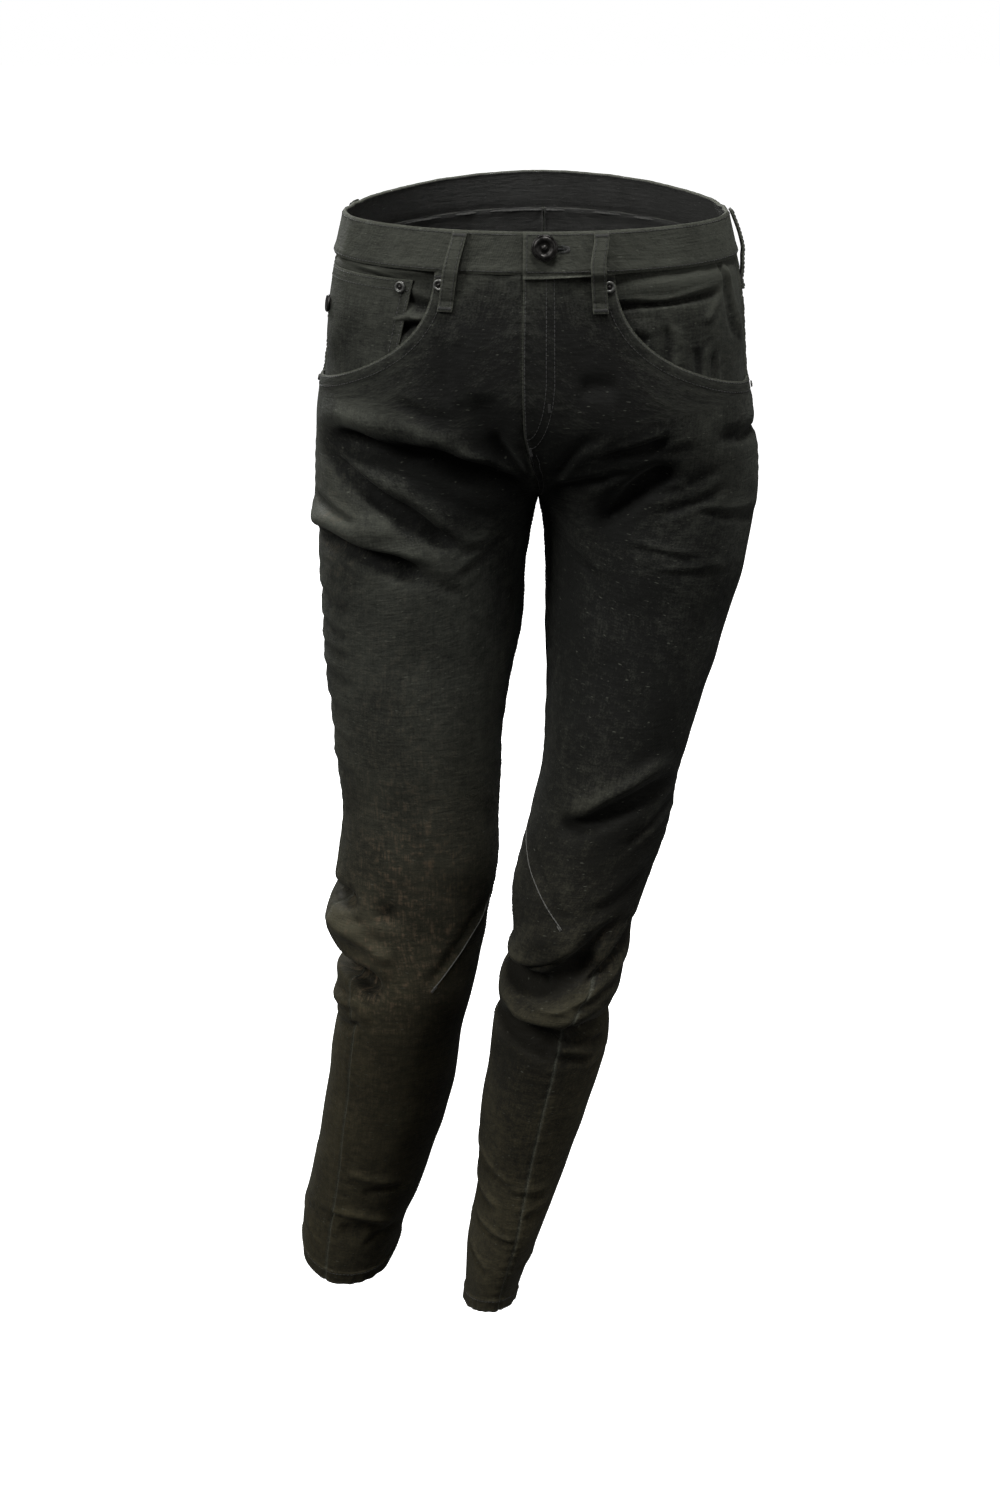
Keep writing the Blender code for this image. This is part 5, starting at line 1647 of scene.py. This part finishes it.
class JEANS_OT_backs(bpy.types.Operator):
    """Makes both backs and yokes with their stitching"""

    bl_idname = "jeans.backs"
    bl_label = "Backs and yokes"

    def execute(self, context):
        sizes, cloth, yarn = built(context)
        for side, word in SIDES:
            self.make_back(side, word, sizes, cloth, yarn)
            self.make_yoke(side, word, sizes, cloth, yarn)
        return {"FINISHED"}

    def make_back(self, side, word, sizes, cloth, yarn):
        face = back_face(side, sizes)
        hem = HEM_LEVEL[side]
        zones = leg_zones(WAISTBAND_HEIGHT, side, (26, 62, 66, 62, 36, 32))
        rows = sum(count for _, count in zones)
        upper = zones[1][1] / rows

        def layout(across, down):
            turn = 1 + bunched(across)
            level = spaced(zones, down)
            start = yoke_level(turn)
            zone = np.clip(down / upper, 0, 1) ** 1.3
            level = np.where(down < upper, start + (SCOOP_LEVEL - start) * zone, level)
            speed = speed_along(side, turn, level)
            points, normals = face(turn, level)
            edge = 0.55 * edge_line((2 - turn) * speed) + 0.7 * edge_line((turn - 1) * speed)
            edge = edge + 0.6 * edge_line(hem - level) + 0.5 * edge_line(level - yoke_level(turn))
            return points, normals, level, edge, side

        piece = cloth_sheet("back_%s_cloth" % word, 96, rows, layout, DENIM, cloth, (CREASES,))
        finish_cloth(piece, "back_" + word)
        mesh = bmesh.new()
        level = np.linspace(yoke_level(1.0) + 0.003, 0.30, 90)
        sew(mesh, face, np.full_like(level, 1.002), level, sizes, -0.0016)
        turn = np.linspace(1.01, 1.99, 90)
        sew(mesh, face, turn, np.full_like(turn, hem - HEM_STITCHES), sizes)
        for distance in YOKE_ROWS:
            sew(mesh, face, turn, yoke_level(turn), sizes, distance)
        if side == LEFT:
            level = np.linspace(yoke_level(2.0) + 0.002, CROTCH_ROW - 0.01, 90)
            for distance in CENTRE_BACK_ROWS:
                sew(mesh, face, np.full_like(level, 1.998), level, sizes, distance)
        finish_stitching(mesh, "back_%s_stitching" % word, yarn)

    def make_yoke(self, side, word, sizes, cloth, yarn):
        face = yoke_face(side, sizes)

        def layout(across, down):
            turn = 1 + bunched(across)
            top = WAISTBAND_HEIGHT - BAND_TUCK
            level = top + (yoke_level(turn) - top) * bunched(down, 0.6)
            speed = speed_along(side, turn, level)
            points, normals = face(turn, level)
            edge = 0.5 * edge_line((2 - turn) * speed) + 0.6 * edge_line((turn - 1) * speed)
            return points, normals, level, edge + 0.6 * edge_line(yoke_level(turn) - level), side

        piece = cloth_sheet("yoke_%s_cloth" % word, 96, 26, layout, DENIM, cloth)
        finish_cloth(piece, "yoke_" + word)
        mesh = bmesh.new()
        level = np.linspace(WAISTBAND_HEIGHT + 0.002, yoke_level(1.0) - 0.002, 20)
        sew(mesh, face, np.full_like(level, 1.002), level, sizes, -0.0016)
        if side == LEFT:
            level = np.linspace(WAISTBAND_HEIGHT + 0.002, yoke_level(2.0) - 0.002, 30)
            for distance in CENTRE_BACK_ROWS:
                sew(mesh, face, np.full_like(level, 1.998), level, sizes, distance)
        finish_stitching(mesh, "yoke_%s_stitching" % word, yarn)


class JEANS_OT_waistband(bpy.types.Operator):
    """Makes the waistband with its stitching and buttonhole"""

    bl_idname = "jeans.waistband"
    bl_label = "Waistband"

    def execute(self, context):
        sizes, cloth, yarn = built(context)
        face = band_face(sizes)

        def layout(across, down):
            ring = (4 + BAND_LAP) * across
            start = ring[:, [1]] * 0.25
            ring = np.where(across < 1e-6, 0.0, np.maximum(ring, start))
            level = WAISTBAND_HEIGHT * bunched(down, 0.75)
            points, normals = face(ring, level * (1 + 0.10 * (1 - ease(ring / 0.35))))
            edge = 0.7 * edge_line(level) + edge_line(WAISTBAND_HEIGHT - level)
            return points, normals, level, edge + 0.5 * edge_line(ring * 0.2), 0

        piece = cloth_sheet("waistband_cloth", 430, 20, layout, WAISTBAND_THICKNESS, cloth)
        finish_cloth(piece, "waistband")
        mesh = bmesh.new()
        ring = np.linspace(0.012, 3.98, 700)
        foot_row = WAISTBAND_HEIGHT - BAND_FOOT_ROW
        for row in (BAND_TOP_ROW, foot_row):
            sew(mesh, face, ring, np.full_like(ring, row), sizes)
        level = np.linspace(BAND_TOP_ROW, foot_row, 12)
        sew(mesh, face, np.full_like(level, 0.012), level, sizes)
        finish_stitching(mesh, "waistband_stitching", yarn)
        self.sew_buttonhole(face, sizes)
        self.cut_buttonhole(face, context)
        return {"FINISHED"}

    def sew_buttonhole(self, face, sizes):
        """Close stitches round a keyhole shape that runs back from the button."""
        mesh = bmesh.new()
        speed = speed_at(LEFT, BUTTON_TURN, BUTTON_LEVEL)
        centre = BUTTON_TURN + HOLE_BACK / speed
        for number in range(HOLE_STITCHES):
            angle = 2 * math.pi * number / HOLE_STITCHES
            across, down = math.cos(angle), math.sin(angle)
            reach_a = 0.0100 * math.copysign(abs(across) ** 0.6, across)
            reach_b = 0.0024 * math.copysign(abs(down) ** 0.8, down)
            ring = np.array([centre + reach_a * share / speed for share in (0.88, 1.10)])
            level = np.array([HOLE_LEVEL + reach_b * share for share in (0.62, 1.30)])
            points, normals = face(ring, level, 0.0003)
            ends = [Vector(point) for point in points]
            stitch_between(mesh, ends[0], ends[1], Vector(normals[0]), sizes.thread_width)
        finish_stitching(mesh, "buttonhole_stitching", thread_material(bpy.context.scene))

    def cut_buttonhole(self, face, context):
        """The slit inside the buttonhole: a narrow dark strip of painted shadow laid over the
        band.
        """
        speed = speed_at(LEFT, BUTTON_TURN, BUTTON_LEVEL)

        def layout(across, down):
            ring = BUTTON_TURN + (HOLE_BACK + (across - 0.5) * HOLE_LENGTH) / speed
            eye = 1 + 1.3 * hill(across - 0.2, 0.16)
            open_by = 0.0022 * eye * np.sin(math.pi * np.clip(across, 0.02, 0.98)) ** 0.6
            level = HOLE_LEVEL + (down - 0.5) * open_by
            points, normals = face(ring, level, 0.0004)
            return points, normals, level, np.zeros_like(across), 0

        # Near-black painted shadow, made with the metal recipe but not metallic
        shadow = metal("slit_shadow", (0.002, 0.002, 0.002), 0.8, metallic=0.0)
        slit = cloth_sheet("buttonhole_slit", 24, 2, layout, 0.0002, [shadow])
        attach(slit, "root")


class JEANS_OT_pockets(bpy.types.Operator):
    """Makes the pocket facings, coin pocket, back pockets and fly placket"""

    bl_idname = "jeans.pockets"
    bl_label = "Pockets and fly placket"

    def execute(self, context):
        sizes, cloth, yarn = built(context)
        for side, word in SIDES:
            self.make_facing(side, word, cloth)
            self.make_back_pocket(side, word, sizes, cloth, yarn)
        self.make_coin_pocket(sizes, cloth, yarn)
        self.make_placket(cloth)
        return {"FINISHED"}

    def make_facing(self, side, word, cloth):
        face = facing_face(side)

        def layout(across, down):
            first = SCOOP_TURN - 0.07
            turn = np.minimum(first + (1 - first) * across, 1 - 0.0015)
            foot = SCOOP_LEVEL + 0.012
            start = WAISTBAND_HEIGHT - BAND_TUCK
            level = start + (foot - start) * down
            points, normals = face(turn, level)
            edge = 0.5 * edge_line((1 - turn) * 0.2)
            return points, normals, level, edge, side

        name = "pocket_facing_%s_cloth" % word
        piece = cloth_sheet(name, 190, 100, layout, POCKET_CLOTH, cloth, (FACING_CREASES,))
        finish_cloth(piece, "pocket_facing_" + word)

    def make_coin_pocket(self, sizes, cloth, yarn):
        face = coin_face()

        def layout(across, down):
            down = bunched(down, 0.6)
            near = COIN_TURN + COIN_SLANT * down
            turn = near + (COIN_FAR_TURN - near) * bunched(across, 0.6)
            level = COIN_TOP + (COIN_FOOT - COIN_TOP) * down
            points, normals = face(turn, level)
            edge = 0.7 * edge_line(level - COIN_TOP) + 0.6 * edge_line((turn - near) * 0.2)
            return points, normals, level, edge, 0

        piece = cloth_sheet("coin_pocket_cloth", 70, 54, layout, POCKET_CLOTH, cloth)
        finish_cloth(piece, "coin_pocket")
        mesh = bmesh.new()
        turn = np.linspace(COIN_TURN + 0.012, COIN_FAR_TURN - 0.005, 60)
        for row in COIN_TOP_ROWS:
            sew(mesh, face, turn, np.full_like(turn, COIN_TOP + row), sizes)
        level = np.linspace(COIN_TOP + 0.002, 0.112, 50)
        turn = COIN_TURN + COIN_SLANT * (level - COIN_TOP) / (COIN_FOOT - COIN_TOP)
        for distance in COIN_SIDE_ROWS:
            sew(mesh, face, turn, level, sizes, distance)
        finish_stitching(mesh, "coin_pocket_stitching", yarn)

    def make_back_pocket(self, side, word, sizes, cloth, yarn):
        face = back_pocket_face(side)

        def layout(across, down):
            across = bunched(across, 0.8)
            down = bunched(down, 0.7)
            points, normals = face(across, down)
            rim = np.minimum(across, 1 - across) * BACK_POCKET_WIDTH
            rim = np.minimum(rim, (1 - down) * BACK_POCKET_HEIGHT)
            level = BACK_POCKET_TOP + BACK_POCKET_HEIGHT * down
            edge = 0.8 * edge_line(np.minimum(rim, down * BACK_POCKET_HEIGHT))
            return points, normals, level, edge, 0

        piece = cloth_sheet("back_pocket_%s_cloth" % word, 64, 64, layout, DENIM, cloth)
        finish_cloth(piece, "back_pocket_" + word)
        mesh = bmesh.new()
        for inset in BACK_POCKET_ROWS:
            side_share = inset / BACK_POCKET_WIDTH
            foot_share = 1 - inset / (BACK_POCKET_HEIGHT - BACK_POCKET_CORNER)
            down = np.linspace(0.01, foot_share, 60)
            sew(mesh, face, np.full_like(down, side_share), down, sizes)
            sew(mesh, face, np.full_like(down, 1 - side_share), down, sizes)
            across = np.linspace(side_share, 1 - side_share, 81)
            sew(mesh, face, across, np.full_like(across, foot_share), sizes)
        for inset in BACK_POCKET_TOP_ROWS:
            across = np.linspace(0.01, 0.99, 60)
            sew(mesh, face, across, np.full_like(across, inset / BACK_POCKET_HEIGHT), sizes)
        for corner in (0.035, 0.965):
            tack(mesh, face, corner, 0.03, 0.007, sizes, False)
        finish_stitching(mesh, "back_pocket_%s_stitching" % word, yarn)

    def make_placket(self, cloth):
        face = fly_face()

        def layout(across, down):
            points, normals = face(across, down)
            return points, normals, WAISTBAND_HEIGHT + 0.12 * down, np.zeros_like(across), 0

        piece = cloth_sheet("fly_placket_cloth", 16, 50, layout, POCKET_CLOTH, cloth)
        finish_cloth(piece, "fly_placket")


class JEANS_OT_belt_loops(bpy.types.Operator):
    """Makes the belt loops with their stitching and bar tacks"""

    bl_idname = "jeans.belt_loops"
    bl_label = "Belt loops"

    def execute(self, context):
        sizes, cloth, yarn = built(context)
        for loop in BELT_LOOPS:
            self.make_loop(loop, sizes, cloth, yarn)
        return {"FINISHED"}

    def make_loop(self, loop, sizes, cloth, yarn):
        face = loop_face(loop)

        def layout(across, down):
            across = bunched(across, 0.7)
            down = bunched(down, 0.6)
            points, normals = face(across, down)
            edge = 0.8 * edge_line(np.minimum(across, 1 - across) * LOOP_WIDTH, 0.0009)
            return points, normals, LOOP_FOOT * down, edge, 0

        piece = cloth_sheet(loop.name + "_cloth", 14, 60, layout, LOOP_THICKNESS, [cloth[0]])
        finish_cloth(piece, loop.name)
        mesh = bmesh.new()
        down = np.linspace(0.02, 0.98, 60)
        for share in (0.16, 0.84):
            sew(mesh, face, np.full_like(down, share), down, sizes)
        for end in (0.045, 0.955):
            tack(mesh, face, 0.5, end, 0.0095, sizes)
        finish_stitching(mesh, loop.name + "_stitching", yarn)


class JEANS_OT_metal(bpy.types.Operator):
    """Makes the button, the coin pocket stud and the rivets"""

    bl_idname = "jeans.metal"
    bl_label = "Button, stud and rivets"

    def execute(self, context):
        scene = context.scene
        sizes = scene.jeans_sizes
        dark = metal("dark_metal_finish", scene.jeans_colours.dark_metal, 0.36)
        grey = metal("grey_metal_finish", scene.jeans_colours.grey_metal, 0.42)
        self.make_button(dark, sizes)
        self.make_stud(dark)
        for spec in RIVETS:
            self.make_rivet(spec, grey, dark, sizes)
        return {"FINISHED"}

    def make_button(self, metal_finish, sizes):
        place = frame_on(band_face(sizes), BUTTON_TURN, BUTTON_LEVEL, LAYER_GAP)
        button = turned_fitting(
            "button_metal", BUTTON_SHAPE, BUTTON_RADIUS, place, metal_finish, 64
        )
        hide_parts("button")

    def make_stud(self, metal_finish):
        place = frame_on(coin_face(), STUD_TURN, STUD_LEVEL, LAYER_GAP)
        stud = turned_fitting("coin_stud_metal", STUD_SHAPE, 1.0, place, metal_finish, 40)
        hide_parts("coin_stud")

    def make_rivet(self, spec, ring_metal, middle_metal, sizes):
        face = coin_face() if spec.on_coin_pocket else front_face(spec.side, sizes)
        place = frame_on(face, spec.turn, spec.level, LAYER_GAP)
        name = spec.name + "_metal"
        piece = turned_fitting(name, RIVET_SHAPE, spec.radius, place, ring_metal, 36)
        piece.data.materials.append(middle_metal)
        centre = place.translation
        for polygon in piece.data.polygons:
            if (polygon.center - centre).length < RIVET_MIDDLE * spec.radius:
                polygon.material_index = 1
        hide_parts(spec.name)


# Stage

WHITE = (1.0, 1.0, 1.0, 1.0)
SENSOR_HEIGHT = 36.0
LENS = 52.56
CAMERA_PLACE = (-0.026, -1.71, 0.168)
CAMERA_PITCH = math.radians(90 - 19.5)
AIM = (0.0, 0.0, -0.35)
FLOOR_REACH = 30.0
DOME_RADIUS = 38.0

Lamp = namedtuple("Lamp", "name place size power")
LAMPS = (
    Lamp("key_light", (-1.95, -1.25, 1.35), 0.9, "key_power"),
    Lamp("top_light", (0.2, -0.85, 2.3), 0.7, "top_power"),
    Lamp("fill_light", (1.9, -1.2, 0.5), 1.4, "fill_power"),
    Lamp("back_light", (-1.1, 2.3, 1.2), 0.9, "back_power"),
)


class JEANS_OT_stage(bpy.types.Operator):
    """Makes the floor, the lights and the camera"""

    bl_idname = "jeans.stage"
    bl_label = "Stage"

    def execute(self, context):
        scene = context.scene
        stage = scene.jeans_stage
        self.make_floor(stage.floor_level)
        self.make_backdrop()
        for lamp in LAMPS:
            self.make_light(lamp, getattr(stage, lamp.power))
        world = bpy.data.worlds.new("studio")
        world.use_nodes = True
        background = world.node_tree.nodes["Background"]
        set_inputs(background, {"Color": WHITE, "Strength": stage.surround})
        scene.world = world
        scene.view_settings.view_transform = "Standard"
        scene.camera = self.make_camera()
        return {"FINISHED"}

    def make_camera(self):
        lens = bpy.data.cameras.new("photo_camera")
        lens.sensor_fit = "VERTICAL"
        lens.sensor_height = SENSOR_HEIGHT
        lens.lens = LENS
        camera = add_object("photo_camera", lens)
        camera.location = CAMERA_PLACE
        camera.rotation_euler = (CAMERA_PITCH, 0.0, 0.0)
        return camera

    def make_unlit(self, mesh, name, paint, settings):
        """A form that doesn't light the jeans or show in their metal."""
        material, _, shader = new_material(paint)
        set_inputs(shader, {"Emission Color": WHITE, **settings})
        data = mesh_data(mesh, name)
        data.materials.append(material)
        form = add_object(name, data)
        form.visible_diffuse = False
        form.visible_glossy = False
        return form

    def make_floor(self, level):
        mesh = bmesh.new()
        bmesh.ops.create_grid(mesh, x_segments=1, y_segments=1, size=FLOOR_REACH)
        bmesh.ops.translate(mesh, vec=(0, 0, level), verts=mesh.verts[:])
        settings = {
            "Base Color": (0.86, 0.86, 0.86, 1.0),
            "Roughness": 0.8,
            "Emission Strength": 1.05,
        }
        self.make_unlit(mesh, "floor", "floor_paint", settings)

    def make_backdrop(self):
        """A white dome that only the camera sees, so it lights nothing."""
        mesh = bmesh.new()
        bmesh.ops.create_uvsphere(mesh, u_segments=48, v_segments=24, radius=DOME_RADIUS)
        settings = {
            "Base Color": (0.0, 0.0, 0.0, 1.0),
            "Specular IOR Level": 0.0,
            "Emission Strength": 1.0,
        }
        dome = self.make_unlit(mesh, "backdrop", "backdrop_white", settings)
        dome.visible_transmission = False
        dome.visible_shadow = False

    def make_light(self, lamp, power):
        light = bpy.data.lights.new(lamp.name, "AREA")
        light.size = lamp.size
        light.energy = power
        placed = add_object(lamp.name, light)
        placed.location = lamp.place
        aim = Vector(AIM) - Vector(lamp.place)
        placed.rotation_euler = aim.to_track_quat("-Z", "Y").to_euler()


class JEANS_PT_panel(bpy.types.Panel):
    """Lists the pieces of the jeans and their settings"""

    bl_label = "Jeans"
    bl_idname = "JEANS_PT_panel"
    bl_space_type = "VIEW_3D"
    bl_region_type = "UI"
    bl_category = "Jeans"

    def draw(self, context):
        layout = self.layout
        for operator in OPERATORS:
            layout.operator(operator.bl_idname)
        scene = context.scene
        for group in (scene.jeans_sizes, scene.jeans_colours, scene.jeans_stage):
            for word in group.__annotations__:
                layout.prop(group, word)


OPERATORS = (
    JEANS_OT_fronts,
    JEANS_OT_backs,
    JEANS_OT_waistband,
    JEANS_OT_pockets,
    JEANS_OT_belt_loops,
    JEANS_OT_metal,
    JEANS_OT_stage,
)
CLASSES = (JeansSizes, JeansColours, StageSettings) + OPERATORS + (JEANS_PT_panel,)


def register():
    for item in CLASSES:
        bpy.utils.register_class(item)
    bpy.types.Scene.jeans_sizes = bpy.props.PointerProperty(type=JeansSizes)
    bpy.types.Scene.jeans_colours = bpy.props.PointerProperty(type=JeansColours)
    bpy.types.Scene.jeans_stage = bpy.props.PointerProperty(type=StageSettings)


def unregister():
    del bpy.types.Scene.jeans_stage
    del bpy.types.Scene.jeans_colours
    del bpy.types.Scene.jeans_sizes
    for item in reversed(CLASSES):
        bpy.utils.unregister_class(item)


def main():
    register()
    bpy.ops.jeans.fronts()
    bpy.ops.jeans.backs()
    bpy.ops.jeans.waistband()
    bpy.ops.jeans.pockets()
    bpy.ops.jeans.belt_loops()
    bpy.ops.jeans.metal()
    bpy.ops.jeans.stage()


if __name__ == "__main__":
    main()
